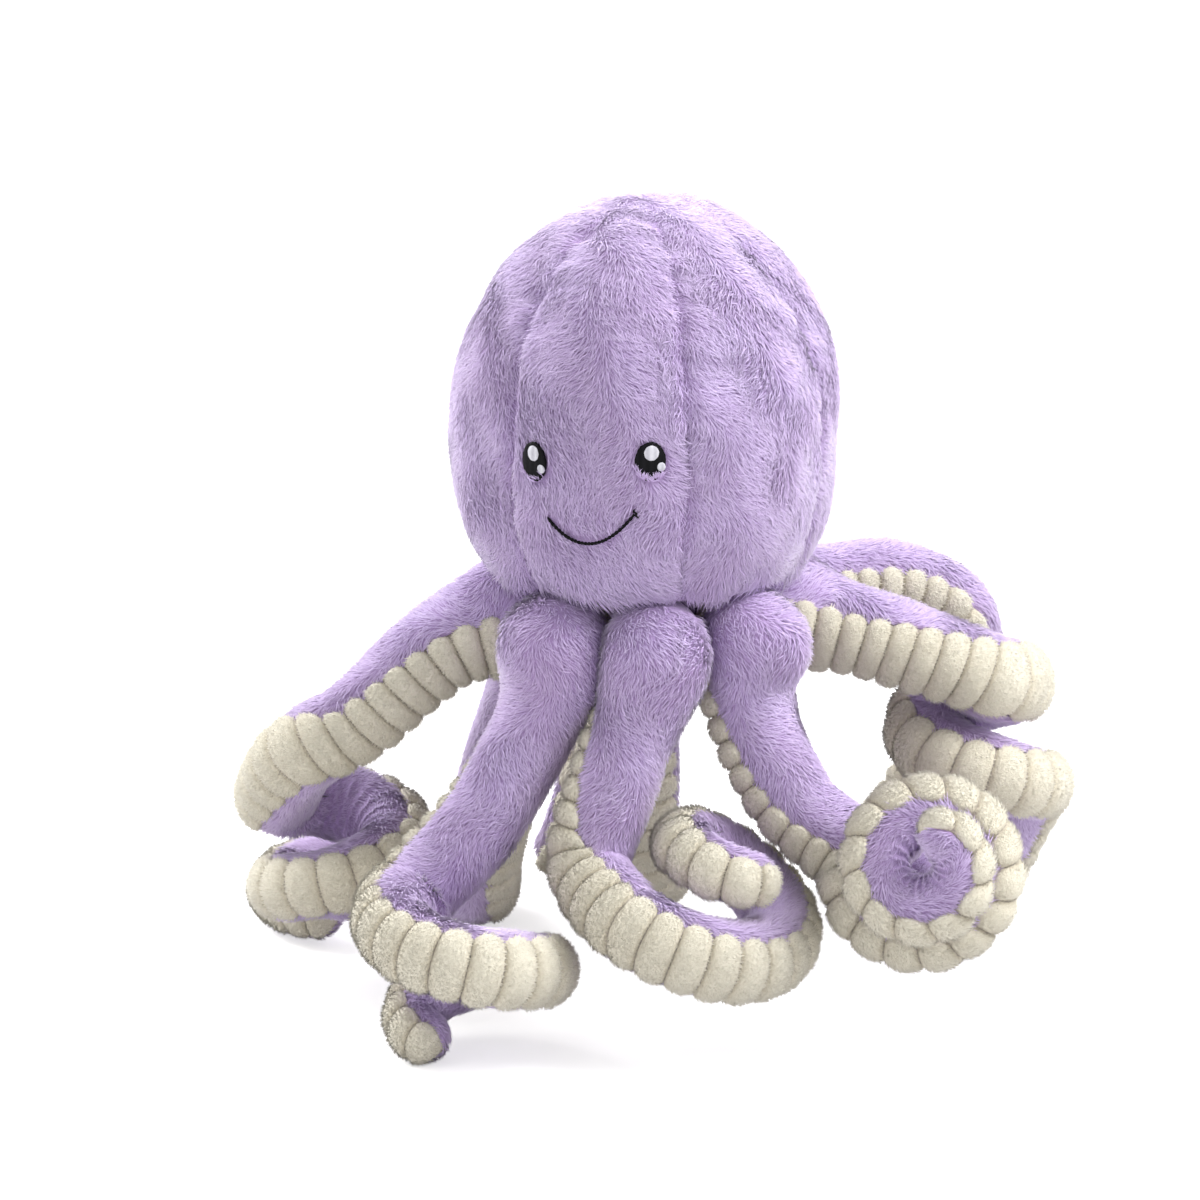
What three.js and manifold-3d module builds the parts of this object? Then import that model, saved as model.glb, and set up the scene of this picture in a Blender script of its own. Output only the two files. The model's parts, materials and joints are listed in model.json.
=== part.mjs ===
// A plush octopus: a stuffed head sewn from six fur gores, with eight stuffed arms that hinge round its base.
// Millimetres, +Z up. The face looks along -Y, and the arms stand on the plane z = 0.
// Each arm is a fur panel over its back, a ribbed strip along its underside and stuffing between them.

import * as THREE from 'three';
import { mergeVertices } from 'three/addons/utils/BufferGeometryUtils.js';
import Module from 'manifold-3d';

const wasm = await Module();
wasm.setup();

// Head sizes
const headRadius = 97.5;
const crownRise = 117;
const waistDrop = 150;
const waistAboveHinges = 102;
const goreCount = 6;
const seamDipShare = 0.02;
const furThickness = 3;
const goreSeamGap = 0.9;
const crownHole = 2.4;
const fitGap = 0.7;

// Arm sizes
const armLength = 420;
const hingeRing = 62;
const hingeHeight = 196;
const armHalfWidth = 22.8;
const rootHalfHeight = 26;
const socketGap = 0.7;
const ribbedThickness = 3.2;
const ribCount = 28;
const ribRise = 1.7;
const firstRibAt = 10;
const armSeamGap = 1.7;
const coreGap = 2.4;
const flatDepth = 0.5;
const tipThickness = 9;

// Face sizes
const eyeHeight = 20.5;
const eyeWidth = 16;
const eyeThickness = 1.6;
const eyeAboveHinges = 103;
const eyeTurn = 18.4;
const largeGlint = 7.6;
const smallGlint = 4.4;
const glintThickness = 0.8;
const threadRadius = 1.1;
const smileAboveHinges = 62;
const smileRise = 14;
const smileTurn = 13.7;
const faceGap = 0.4;

// The body's underside
const baseThickness = 3;
const baseDrop = 22;

// How finely curves are cut into facets
const chordSag = 0.75;
const longestStep = 34;
const stepShare = 0.93;
const curveSamples = 420;
const coilStepDegrees = 22.5;
const headRows = 12;
const grooveStepDegrees = 15;
const goreColumns = 6;

// An arm's half width along its length, as shares of armLength and of armHalfWidth
const widthShares = [[0, 1], [0.1, 0.95], [0.3, 0.94], [0.55, 0.89], [0.8, 0.76], [1, 0.62]];
// How far the root's extra height runs out, as a share of armLength
const rootSwellShare = 0.11;
// The tip's rounded length, as a share of its own half width
const narrowestShare = 0.3;
const rootReachShare = 0.94;
// Where the last rings stand, back from the tip, as shares of its half width
const tipRingShares = [1, 0.5, 0.16, 0];

// The arms, each by its bearing from the face, in degrees, positive towards +X.
// A place is [swing from the arm's bearing in degrees, reach as a share of armLength, height as a share of
// hingeHeight]. A curl turns round a centre: its radii and its drift in a turn are shares of armLength,
// and its axis, its drift and the direction of the arm's back at the root are [outward, sideways, up].
const armTable = [
  {
    name: 'arm_front_left', bearing: -22.5, back: [0.8, 0, 0.6], straightShare: 0, slackShare: 1, stands: true,
    stalkShares: [[-3, 0.174, 0.852], [-10, 0.24, 0.605]],
    curl: {
      centreShares: [0, 0.323, 0.408], axis: [0, 0, 1], start: -90, hand: 1, turn: 520,
      radiusShares: [0.09, 0.062], driftShares: [0, 0, -0.118],
    },
    tailShares: [],
  },
  {
    name: 'arm_front_right', bearing: 22.5, back: [0.8, 0, 0.6], straightShare: 0, slackShare: 0.85, stands: false,
    stalkShares: [[-8, 0.167, 0.847], [-19, 0.2, 0.622], [-22, 0.225, 0.48]],
    curl: {
      centreShares: [6, 0.23, 0.33], axis: [0.23, 0.44, 0.866], start: -62, hand: 1, turn: 560,
      radiusShares: [0.1, 0.096, 0.048, 0.038], driftShares: [0.01, 0.06, 0.068],
    },
    tailShares: [],
  },
  {
    name: 'arm_side_right_front', bearing: 67.5, back: [0.8, 0, 0.6], straightShare: 0, slackShare: 0.62, stands: false,
    stalkShares: [[-2, 0.162, 0.842], [-1.5, 0.232, 0.605]],
    curl: {
      centreShares: [8.5, 0.38, 0.464], axis: [0.614, -0.746, 0.259], start: 190, hand: 1, turn: 680,
      radiusShares: [0.075, 0.04], driftShares: [0.065, -0.079, 0.027],
    },
    tailShares: [],
  },
  {
    name: 'arm_side_right_back', bearing: 112.5, back: [0, 0.85, 0.55], straightShare: 0.35, slackShare: 1, stands: true,
    stalkShares: [[-2, 0.243, 0.964], [-3, 0.362, 0.89]],
    curl: {
      centreShares: [5, 0.377, 0.846], axis: [0, 0, 1], start: -50, hand: 1, turn: 430,
      radiusShares: [0.058, 0.056], driftShares: [0.034, 0, -0.112],
    },
    tailShares: [[13, 0.45, 0.4], [17, 0.425, 0.24], [19, 0.38, 0.12], [18, 0.31, 0.075], [17, 0.25, 0.075]],
  },
  {
    name: 'arm_back_right', bearing: 157.5, back: [0.65, 0.55, 0.5], straightShare: 0.3, slackShare: 1.1, stands: true,
    stalkShares: [
      [-7, 0.278, 0.973], [-13, 0.382, 0.955], [-16, 0.45, 0.87], [-13.5, 0.466, 0.63], [-10, 0.446, 0.38],
    ],
    curl: {
      centreShares: [-2, 0.465, 0.2], axis: [0, 0, 1], start: -180, hand: -1, turn: 360,
      radiusShares: [0.064, 0.058], driftShares: [0, 0, -0.084],
    },
    tailShares: [],
  },
  {
    name: 'arm_back_left', bearing: -157.5, back: [0.6, 0, 0.8], straightShare: 0, slackShare: 0.7, stands: true,
    stalkShares: [[-2.5, 0.21, 0.9], [-3, 0.243, 0.6], [-4, 0.265, 0.35], [-5, 0.31, 0.17]],
    curl: {
      centreShares: [-7, 0.415, 0.27], axis: [0, -1, 0], start: -100, hand: 1, turn: 380,
      radiusShares: [0.078, 0.062], driftShares: [0.01, 0.125, 0],
    },
    tailShares: [],
  },
  {
    name: 'arm_side_left_back', bearing: -112.5, back: [0.8, 0, 0.6], straightShare: 0, slackShare: 0.6, stands: true,
    stalkShares: [[-2.5, 0.185, 0.735], [-7.5, 0.244, 0.518], [-9.7, 0.299, 0.28], [-14, 0.34, 0.138]],
    curl: {
      centreShares: [-4.4, 0.446, 0.1], axis: [0, 0, 1], start: -140, hand: 1, turn: 400,
      radiusShares: [0.119, 0.112], driftShares: [0, 0, -0.012],
    },
    tailShares: [],
  },
  {
    name: 'arm_side_left_front', bearing: -67.5, back: [0, -0.72, 0.7], straightShare: 0.35, slackShare: 1.15, stands: false,
    stalkShares: [[0, 0.233, 0.949], [-2, 0.35, 0.733], [-4.5, 0.405, 0.648]],
    curl: {
      centreShares: [-13.6, 0.37, 0.49], axis: [0, 0, 1], start: -15, hand: -1, turn: 600,
      radiusShares: [0.071, 0.062], driftShares: [0, 0, -0.112],
    },
    tailShares: [],
  },
];

const up = new THREE.Vector3(0, 0, 1);
const quarterTurn = Math.PI / 2;
const rootReach = rootReachShare * rootHalfHeight;
const floorReach = 4 * armLength;

// Materials

function finish(color, roughness) {
  return new THREE.MeshStandardMaterial({ color, roughness, metalness: 0 });
}

const lavenderFur = () => finish(0xb9a6d0, 0.95);
const creamPlush = () => finish(0xded6ca, 0.95);
const whiteFibre = () => finish(0xf2f1ee, 1);
const blackStitch = () => finish(0x17151a, 0.6);
const whiteStitch = () => finish(0xe6e6ea, 0.6);

// Mesh helpers

function meshFromLists(name, places, faces, material) {
  const geometry = new THREE.BufferGeometry();
  geometry.setAttribute('position', new THREE.Float32BufferAttribute(places, 3));
  geometry.setIndex(faces);
  const mesh = new THREE.Mesh(geometry, material);
  mesh.name = name;
  return mesh;
}

// A closed body lofted through rings of equal length. Each ring runs counterclockwise seen from its far side.
// Each four-sided facet is split along one of its diagonals, or along the other where it leans back.
function loft(name, rings, capFaces, material, leansBack = false) {
  const places = [];
  const faces = [];
  const around = rings[0].length;
  rings.flat().forEach((point) => places.push(point.x, point.y, point.z));
  for (let i = 0; i + 1 < rings.length; i += 1) {
    for (let j = 0; j < around; j += 1) {
      const next = (j + 1) % around;
      const low = i * around;
      const high = low + around;
      if (leansBack) {
        faces.push(low + j, low + next, high + j);
        faces.push(low + next, high + next, high + j);
      } else {
        faces.push(low + j, low + next, high + next);
        faces.push(low + j, high + next, high + j);
      }
    }
  }
  const last = (rings.length - 1) * around;
  capFaces.forEach(([a, b, c]) => {
    faces.push(a, c, b);
    faces.push(last + a, last + b, last + c);
  });
  return meshFromLists(name, places, faces, material);
}

function fanFaces(around) {
  return Array.from({ length: around - 2 }, (_, i) => [0, i + 1, i + 2]);
}

// Faces that close the gap between an outer run of points and an inner run that comes back
function bandFaces(outerCount, innerCount) {
  const faces = [];
  const last = outerCount + innerCount - 1;
  let outer = 0;
  let inner = 0;
  while (outer < outerCount - 1 || inner < innerCount - 1) {
    const outerShare = (outer + 1) / (outerCount - 1);
    const innerShare = (inner + 1) / (innerCount - 1);
    if (outerShare <= innerShare) {
      faces.push([outer, outer + 1, last - inner]);
      outer += 1;
    } else {
      faces.push([outer, last - inner - 1, last - inner]);
      inner += 1;
    }
  }
  return faces;
}

function solidOf(geometry) {
  const bare = geometry.clone();
  bare.deleteAttribute('normal');
  bare.deleteAttribute('uv');
  const merged = mergeVertices(bare);
  return new wasm.Manifold(new wasm.Mesh({
    numProp: 3,
    vertProperties: new Float32Array(merged.attributes.position.array),
    triVerts: new Uint32Array(merged.index.array),
  }));
}

function geometryOf(solid) {
  const { numProp, vertProperties, triVerts } = solid.getMesh();
  const geometry = new THREE.BufferGeometry();
  geometry.setAttribute('position', new THREE.Float32BufferAttribute(vertProperties, numProp));
  geometry.setIndex(new THREE.Uint32BufferAttribute(triVerts, 1));
  return geometry;
}

// Takes off all that lies below the floor, so that the piece stands flat. The slab is given in the piece's own frame.
function cutFlat(mesh, floorHeight) {
  const slab = new THREE.BoxGeometry(floorReach, floorReach, floorReach);
  slab.translate(0, 0, floorHeight - floorReach / 2);
  mesh.geometry = geometryOf(solidOf(mesh.geometry).subtract(solidOf(slab)));
}

function smoothShare(share) {
  const t = THREE.MathUtils.clamp(share, 0, 1);
  return t * t * (3 - 2 * t);
}

function fromTable(table, share) {
  const held = THREE.MathUtils.clamp(share, table[0][0], table.at(-1)[0]);
  const at = Math.max(1, table.findIndex(([x]) => x >= held));
  const [x0, y0] = table[at - 1];
  const [x1, y1] = table[at];
  return y0 + (y1 - y0) * smoothShare((held - x0) / (x1 - x0));
}

// A table whose values stand evenly over the way from 0 to 1
function evenly(values) {
  return values.map((value, i) => [i / (values.length - 1), value]);
}

// The head

// The head's radius at a height over the hinges: an egg of two half ellipses that meet at its widest
function headProfile(height) {
  const over = height - waistAboveHinges;
  const reach = over > 0 ? crownRise : waistDrop;
  return headRadius * Math.sqrt(Math.max(0, 1 - (over / reach) ** 2));
}

// A point on the head, sunk by a depth, at a bearing from the face in degrees. The seams between gores lie a little in.
function headPoint(bearing, height, depth = 0) {
  const goreAngle = 360 / goreCount;
  const overSeam = Math.cos(THREE.MathUtils.degToRad((bearing % goreAngle) * (180 / goreAngle)));
  const radius = headProfile(height) * (1 - seamDipShare * (1 - Math.abs(overSeam)));
  const step = crownRise / 100;
  const slope = (headProfile(height + step) - headProfile(height - step)) / (2 * step);
  const normal = new THREE.Vector2(1, -slope).normalize();
  const turn = THREE.MathUtils.degToRad(bearing);
  const out = new THREE.Vector3(Math.sin(turn), -Math.cos(turn), 0);
  return out.multiplyScalar(radius - depth * normal.x).setZ(height - depth * normal.y);
}

const grooveRadius = rootHalfHeight + socketGap;
const rimHeight = grooveRadius + socketGap;
const crownHeight = waistAboveHinges + crownRise;

// Heights down the head, closer together towards the crown, as an angle steps evenly round the egg
function headHeights(topRadius) {
  const topTurn = Math.acos(topRadius / headRadius);
  const lowTurn = -Math.asin((waistAboveHinges - rimHeight) / waistDrop);
  return Array.from({ length: headRows + 1 }, (_, i) => {
    const turn = lowTurn + (topTurn - lowTurn) * (i / headRows);
    return waistAboveHinges + Math.sin(turn) * (turn > 0 ? crownRise : waistDrop);
  });
}

// One fur gore: a curved shell between two seams, from the rim over the arms up to the crown
function goreMesh(index) {
  const middle = (index * 360) / goreCount;
  const heights = headHeights(crownHole);
  const rings = heights.map((height) => {
    const radius = headProfile(height);
    const halfTurn = 180 / goreCount - THREE.MathUtils.radToDeg(Math.asin(goreSeamGap / 2 / radius));
    const bearings = Array.from(
      { length: goreColumns + 1 },
      (_, j) => middle + halfTurn * ((2 * j) / goreColumns - 1),
    );
    const outer = bearings.map((bearing) => headPoint(bearing, height));
    const inner = bearings.toReversed().map((bearing) => headPoint(bearing, height, furThickness));
    return [...outer, ...inner];
  });
  const count = goreColumns + 1;
  return loft(`head_gore_${index + 1}`, rings, bandFaces(count, count), lavenderFur());
}

// The head's stuffing: the space under the gores, with a groove in its underside where the arms' roots turn
function headStuffingMesh() {
  const depth = furThickness + fitGap;
  const around = goreCount * goreColumns;
  const heights = headHeights(crownHole + depth);
  const stub = hingeRing - grooveRadius;
  const rings = [];
  const ring = (radius, height) => Array.from({ length: around }, (_, j) => {
    const turn = (j / around) * 2 * Math.PI;
    return new THREE.Vector3(Math.sin(turn) * radius, -Math.cos(turn) * radius, height);
  });
  rings.push(ring(stub, -baseDrop + fitGap));
  for (let degrees = 180; degrees >= 90; degrees -= grooveStepDegrees) {
    const turn = THREE.MathUtils.degToRad(degrees);
    rings.push(ring(hingeRing + grooveRadius * Math.cos(turn), grooveRadius * Math.sin(turn)));
  }
  heights.forEach((height) => rings.push(Array.from(
    { length: around },
    (_, j) => headPoint((j * 360) / around, height, depth),
  )));
  return loft('head_stuffing', rings, fanFaces(around), whiteFibre());
}

// The round of fur that closes the body between the arms' roots
function baseMesh() {
  const around = goreCount * goreColumns;
  const radius = hingeRing - grooveRadius;
  const rings = [-baseDrop - baseThickness, -baseDrop].map((height) => Array.from({ length: around }, (_, j) => {
    const turn = (j / around) * 2 * Math.PI;
    return new THREE.Vector3(Math.sin(turn) * radius, -Math.cos(turn) * radius, height);
  }));
  return loft('base_disc', rings, fanFaces(around), lavenderFur());
}

// The face

// A thin oval pad that follows the head's surface, built from a middle point and rings on both of its sides
function ovalPad(name, bearing, height, width, tall, depthIn, thickness, material) {
  const around = 12;
  const ringShares = [0.55, 1];
  const places = [];
  const faces = [];
  const perDegree = THREE.MathUtils.degToRad(headProfile(height));
  const put = (share, turn, depth) => {
    const aside = (share * Math.cos(turn) * width) / 2 / perDegree;
    const point = headPoint(bearing + aside, height + (share * Math.sin(turn) * tall) / 2, depth);
    places.push(point.x, point.y, point.z);
  };
  const sides = [depthIn - thickness, depthIn];
  sides.forEach((depth) => {
    put(0, 0, depth);
    ringShares.forEach((share) => {
      for (let j = 0; j < around; j += 1) {
        put(share, (j / around) * 2 * Math.PI, depth);
      }
    });
  });
  const sideCount = 1 + ringShares.length * around;
  for (let j = 0; j < around; j += 1) {
    const next = (j + 1) % around;
    const front = [1 + j, 1 + next, 1 + around + j, 1 + around + next];
    const back = front.map((at) => at + sideCount);
    faces.push(0, front[0], front[1]);
    faces.push(front[0], front[2], front[3], front[0], front[3], front[1]);
    faces.push(sideCount, back[1], back[0]);
    faces.push(back[0], back[3], back[2], back[0], back[1], back[3]);
    faces.push(front[2], back[2], back[3], front[2], back[3], front[3]);
  }
  return meshFromLists(name, places, faces, material);
}

// An embroidered eye with its two glints, which sit high on one side of it and lower on the other
function eyeMeshes(side, turn) {
  const degrees = turn * eyeTurn;
  const perDegree = THREE.MathUtils.degToRad(headProfile(eyeAboveHinges));
  const eyeTop = -faceGap - eyeThickness;
  const glintIn = eyeTop - faceGap;
  const glint = (label, size, asideShare, riseShare) => ovalPad(
    `eye_${side}_${label}_glint`,
    degrees + (asideShare * eyeWidth) / 2 / perDegree,
    eyeAboveHinges + (riseShare * eyeHeight) / 2,
    size,
    size,
    glintIn,
    glintThickness,
    whiteStitch(),
  );
  return [
    ovalPad(
      `eye_${side}`, degrees, eyeAboveHinges, eyeWidth, eyeHeight, -faceGap, eyeThickness, blackStitch(),
    ),
    glint('large', largeGlint, -0.02, 0.47),
    glint('small', smallGlint, 0.6, -0.28),
  ];
}

// The smile: one thread laid along a shallow arc on the front gore
function smileMesh() {
  const steps = 12;
  const points = Array.from({ length: steps + 1 }, (_, i) => {
    const across = (2 * i) / steps - 1;
    return headPoint(across * smileTurn, smileAboveHinges + smileRise * across ** 2, -faceGap - threadRadius);
  });
  const path = new THREE.CatmullRomCurve3(points);
  const section = new THREE.Shape();
  section.absarc(0, 0, threadRadius, 0, 2 * Math.PI);
  const geometry = new THREE.ExtrudeGeometry(section, {
    steps: 2 * steps, bevelEnabled: false, extrudePath: path, curveSegments: 3,
  });
  geometry.deleteAttribute('normal');
  geometry.deleteAttribute('uv');
  const mesh = new THREE.Mesh(mergeVertices(geometry), blackStitch());
  mesh.name = 'smile_thread';
  return mesh;
}

// An arm, in its own frame: the hinge is at the origin, +X runs outward, +Y sideways and +Z up

function armPlace([swing, reachShare, heightShare]) {
  const turn = THREE.MathUtils.degToRad(swing);
  const reach = reachShare * armLength;
  return new THREE.Vector3(
    reach * Math.cos(turn) - hingeRing,
    reach * Math.sin(turn),
    (heightShare - 1) * hingeHeight,
  );
}

// The curl's points, with the way to the curl's axis at each: a spiral that drifts as it turns
function curlPoints(curl) {
  const axis = new THREE.Vector3(...curl.axis).normalize();
  const first = new THREE.Vector3(1, 0, 0).addScaledVector(axis, -axis.x).normalize();
  const second = new THREE.Vector3().crossVectors(axis, first);
  const centre = armPlace(curl.centreShares);
  const drift = new THREE.Vector3(...curl.driftShares).multiplyScalar(armLength);
  const steps = Math.round(curl.turn / coilStepDegrees);
  return Array.from({ length: steps + 1 }, (_, i) => {
    const share = i / steps;
    const turned = THREE.MathUtils.degToRad(curl.start + curl.hand * curl.turn * share);
    const radius = fromTable(evenly(curl.radiusShares), share) * armLength;
    const out = first.clone().multiplyScalar(Math.cos(turned)).addScaledVector(second, Math.sin(turned));
    const place = centre.clone().addScaledVector(drift, (curl.turn * share) / 360).addScaledVector(out, radius);
    return { place, back: out.negate() };
  });
}

// Sets the way of the arm's back where no curl gives it: carried along without twist from the curl,
// then twisted evenly towards the way that the root has
function carryBacks(knots, rootBack, straightShare) {
  const tangents = knots.map((_, i) => {
    const before = knots[Math.max(i - 1, 0)].place;
    const after = knots[Math.min(i + 1, knots.length - 1)].place;
    return after.clone().sub(before).normalize();
  });
  const carried = (back, tangent) => back.clone().addScaledVector(tangent, -back.dot(tangent)).normalize();
  const firstCurl = knots.findIndex((knot) => knot.back);
  for (let i = firstCurl - 1; i >= 0; i -= 1) {
    knots[i].back = carried(knots[i + 1].back, tangents[i]);
  }
  for (let i = firstCurl; i < knots.length; i += 1) {
    knots[i].back = carried(knots[i].back ?? knots[i - 1].back, tangents[i]);
  }
  const wanted = carried(rootBack, tangents[0]);
  const aside = new THREE.Vector3().crossVectors(tangents[0], knots[0].back);
  const twist = Math.atan2(wanted.dot(aside), wanted.dot(knots[0].back));
  for (let i = 0; i < firstCurl; i += 1) {
    const share = (i / firstCurl - straightShare) / (1 - straightShare);
    knots[i].back.applyAxisAngle(tangents[i], twist * (1 - smoothShare(share)));
  }
}

// The arm's middle line and the way of its back, both as smooth curves through the same knots.
// The stretch lowers or raises all of it under the hinge.
function armCurves(arm, stretch) {
  const root = { place: new THREE.Vector3() };
  const stalk = arm.stalkShares.map((shares) => ({ place: armPlace(shares) }));
  const tail = arm.tailShares.map((shares) => ({ place: armPlace(shares) }));
  const knots = [root, ...stalk, ...curlPoints(arm.curl), ...tail];
  knots.forEach(({ place }) => place.setZ(place.z * stretch));
  carryBacks(knots, new THREE.Vector3(...arm.back), arm.straightShare);
  const line = new THREE.CatmullRomCurve3(knots.map(({ place }) => place), false, 'centripetal');
  const backs = new THREE.CatmullRomCurve3(knots.map(({ back }) => back), false, 'centripetal');
  line.arcLengthDivisions = curveSamples;
  return { line, backs, total: line.getLength() };
}

// The arm's frame at a length from the hinge: a place, the way along, the way of the back and the way aside
function frameAt({ line, backs, total }, along) {
  const t = line.getUtoTmapping(THREE.MathUtils.clamp(along, 0, total) / total);
  const place = line.getPoint(t);
  const ahead = line.getTangent(t);
  const back = backs.getPoint(t);
  back.addScaledVector(ahead, -back.dot(ahead)).normalize();
  place.addScaledVector(ahead, Math.min(along, 0));
  return { place, ahead, back, aside: new THREE.Vector3().crossVectors(back, ahead) };
}

// Half the arm's width at a length from the hinge, and the stretch that the root has square to the hinge's axis.
// The root is rounded about the hinge, the tip too.
function armHalves(along) {
  const tip = armHalfWidth * widthShares.at(-1)[1];
  const beyond = Math.max(0, (along - (armLength - tip)) / tip);
  const behind = Math.max(0, -along / rootHalfHeight);
  const rounding = Math.sqrt(Math.max(0, 1 - beyond ** 2)) * Math.sqrt(Math.max(0, 1 - behind ** 2));
  const body = armHalfWidth * fromTable(widthShares, along / armLength);
  const swell = rootHalfHeight / armHalfWidth - 1;
  const rootShare = 1 - smoothShare(along / (rootSwellShare * armLength));
  return { half: body * Math.max(rounding, narrowestShare), stretch: 1 + swell * rootShare };
}

// A point of the arm's section. The turn is from its back, in degrees, and the depth is under the surface.
function sectionPoint(frame, { half, stretch }, turnDegrees, depth) {
  const turn = THREE.MathUtils.degToRad(turnDegrees);
  const reach = Math.max(half - depth, half * narrowestShare ** 2);
  return new THREE.Vector3()
    .addScaledVector(frame.back, Math.cos(turn) * reach)
    .addScaledVector(frame.aside, Math.sin(turn) * reach)
    .multiply(new THREE.Vector3(stretch, 1, stretch))
    .add(frame.place);
}

// Lengths along the arm where a ring stands, closer together where it bends or twists
function ringPlaces(curves) {
  const to = armLength;
  const places = [-rootReach];
  while (places.at(-1) < to) {
    const here = places.at(-1);
    const now = frameAt(curves, here);
    let step = here < 0 ? longestStep / 4 : longestStep;
    const sagOver = (length) => {
      const then = frameAt(curves, here + length);
      return (length * (now.ahead.angleTo(then.ahead) + now.aside.angleTo(then.aside))) / 8;
    };
    while (sagOver(step) > chordSag) {
      step *= stepShare;
    }
    places.push(here + step);
  }
  const tip = armHalfWidth * widthShares.at(-1)[1];
  const tipPlaces = tipRingShares.map((share) => to - share * tip);
  return [...places.filter((place) => place < tipPlaces[0] - tip / 2), ...tipPlaces];
}

const seamDegrees = 112.5;

function seamShift(halves) {
  return THREE.MathUtils.radToDeg(armSeamGap / 2 / halves.half);
}

// The fur panel: over the arm's back and down both sides to the seams
function armFurMesh(arm, curves) {
  const outerShares = [1, 0.5, 0, -0.5, -1];
  const innerShares = [-1, -1 / 3, 1 / 3, 1];
  const rings = ringPlaces(curves).map((along) => {
    const frame = frameAt(curves, along);
    const halves = armHalves(along);
    const edge = seamDegrees - seamShift(halves);
    return [
      ...outerShares.map((share) => sectionPoint(frame, halves, share * edge, 0)),
      ...innerShares.map((share) => sectionPoint(frame, halves, share * edge, furThickness)),
    ];
  });
  return loft(`${arm.name}_fur`, rings, bandFaces(outerShares.length, innerShares.length), lavenderFur());
}

// The ribbed strip: two rings for each rib, one in the valley before it and one on its crest
function armRibsMesh(arm, curves) {
  const outerShares = [-1, -0.5, 0, 0.5, 1];
  const innerShares = [1, 0, -1];
  const pitch = (armLength - firstRibAt) / ribCount;
  const rootRings = ringPlaces(curves).filter((along) => along <= 0).map((along) => [along, 0]);
  const ribRings = Array.from({ length: ribCount }, (_, i) => [
    [firstRibAt + i * pitch, 0],
    [firstRibAt + (i + 0.5) * pitch, ribRise],
  ]).flat();
  const rings = [...rootRings, ...ribRings, [armLength, 0]].map(([along, rise]) => {
    const frame = frameAt(curves, along);
    const halves = armHalves(along);
    const half = 180 - seamDegrees - seamShift(halves);
    const riseAt = (share) => (Math.abs(share) < 1 ? rise : 0);
    return [
      ...outerShares.map((share) => sectionPoint(frame, halves, 180 - share * half, -riseAt(share))),
      ...innerShares.map((share) => sectionPoint(frame, halves, 180 - share * half, ribbedThickness)),
    ];
  });
  const caps = bandFaces(outerShares.length, innerShares.length);
  return loft(`${arm.name}_ribbed_underside`, rings, caps, creamPlush());
}

// The arm's stuffing: five sides that keep clear of both panels, and a little more so at the two seams
function armStuffingMesh(arm, curves) {
  const turns = [seamDegrees, seamDegrees / 3, -seamDegrees / 3, -seamDegrees, -180];
  const depth = furThickness + coreGap * arm.slackShare;
  const inside = (along) => along > depth - rootHalfHeight && along < armLength - tipThickness;
  const rings = ringPlaces(curves).filter(inside).map((along) => {
    const frame = frameAt(curves, along);
    const halves = armHalves(along);
    const depthAt = (turn) => (Math.abs(turn) === seamDegrees ? depth + armSeamGap / 2 : depth);
    return turns.map((turn) => sectionPoint(frame, halves, turn, depthAt(turn)));
  });
  return loft(`${arm.name}_stuffing`, rings, fanFaces(turns.length), whiteFibre(), true);
}

function lowestOf(meshes) {
  return Math.min(...meshes.map((mesh) => {
    mesh.geometry.computeBoundingBox();
    return mesh.geometry.boundingBox.min.z;
  }));
}

// Finds the stretch at which a standing arm's panels reach just under the floor
function standingStretch(arm) {
  const target = -hingeHeight - flatDepth;
  let stretch = 1;
  for (let i = 0; i < 6; i += 1) {
    const curves = armCurves(arm, stretch);
    const low = lowestOf([armFurMesh(arm, curves), armRibsMesh(arm, curves)]);
    stretch *= target / low;
  }
  return stretch;
}

// The least space between turns of an arm, measured between points of its middle line
function leastSelfGap(curves) {
  const step = armHalfWidth / 4;
  const count = Math.floor(armLength / step);
  const samples = Array.from({ length: count }, (_, i) => ({
    along: i * step, place: frameAt(curves, i * step).place, half: armHalves(i * step).half,
  }));
  let least = Infinity;
  samples.forEach((one) => samples.forEach((other) => {
    if (other.along - one.along > Math.PI * armHalfWidth) {
      least = Math.min(least, one.place.distanceTo(other.place) - one.half - other.half);
    }
  }));
  return least;
}

function armGroup(arm) {
  const curves = armCurves(arm, arm.stands ? standingStretch(arm) : 1);
  const fur = armFurMesh(arm, curves);
  const ribs = armRibsMesh(arm, curves);
  if (arm.stands) {
    [fur, ribs].filter((mesh) => lowestOf([mesh]) < -hingeHeight).forEach((mesh) => cutFlat(mesh, -hingeHeight));
  }
  const group = new THREE.Group();
  group.add(fur, ribs, armStuffingMesh(arm, curves));
  const turn = THREE.MathUtils.degToRad(arm.bearing);
  group.rotation.z = turn - quarterTurn;
  group.position.set(hingeRing * Math.sin(turn), -hingeRing * Math.cos(turn), hingeHeight);
  console.log(`${arm.name}: least gap to itself ${leastSelfGap(curves).toFixed(1)} mm`);
  return group;
}

// The whole toy, moved so that the middle of its footprint is the origin

const head = new THREE.Group();
head.position.copy(up).multiplyScalar(hingeHeight);
head.add(...Array.from({ length: goreCount }, (_, i) => goreMesh(i)));
head.add(headStuffingMesh(), baseMesh(), smileMesh(), ...eyeMeshes('left', -1), ...eyeMeshes('right', 1));

const octopus = new THREE.Group();
octopus.add(head, ...armTable.map(armGroup));
octopus.updateMatrixWorld(true);
const middle = new THREE.Box3().setFromObject(octopus, true).getCenter(new THREE.Vector3());
octopus.position.set(-middle.x, -middle.y, 0);

export default octopus;
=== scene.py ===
"""A plush octopus: a fur head of six gores, an embroidered face and eight curling arms with ribbed undersides.

Metres, +Z up. The face looks along -Y and the arms stand on the plane z = 0. Bearings count from the face.
"""

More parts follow.
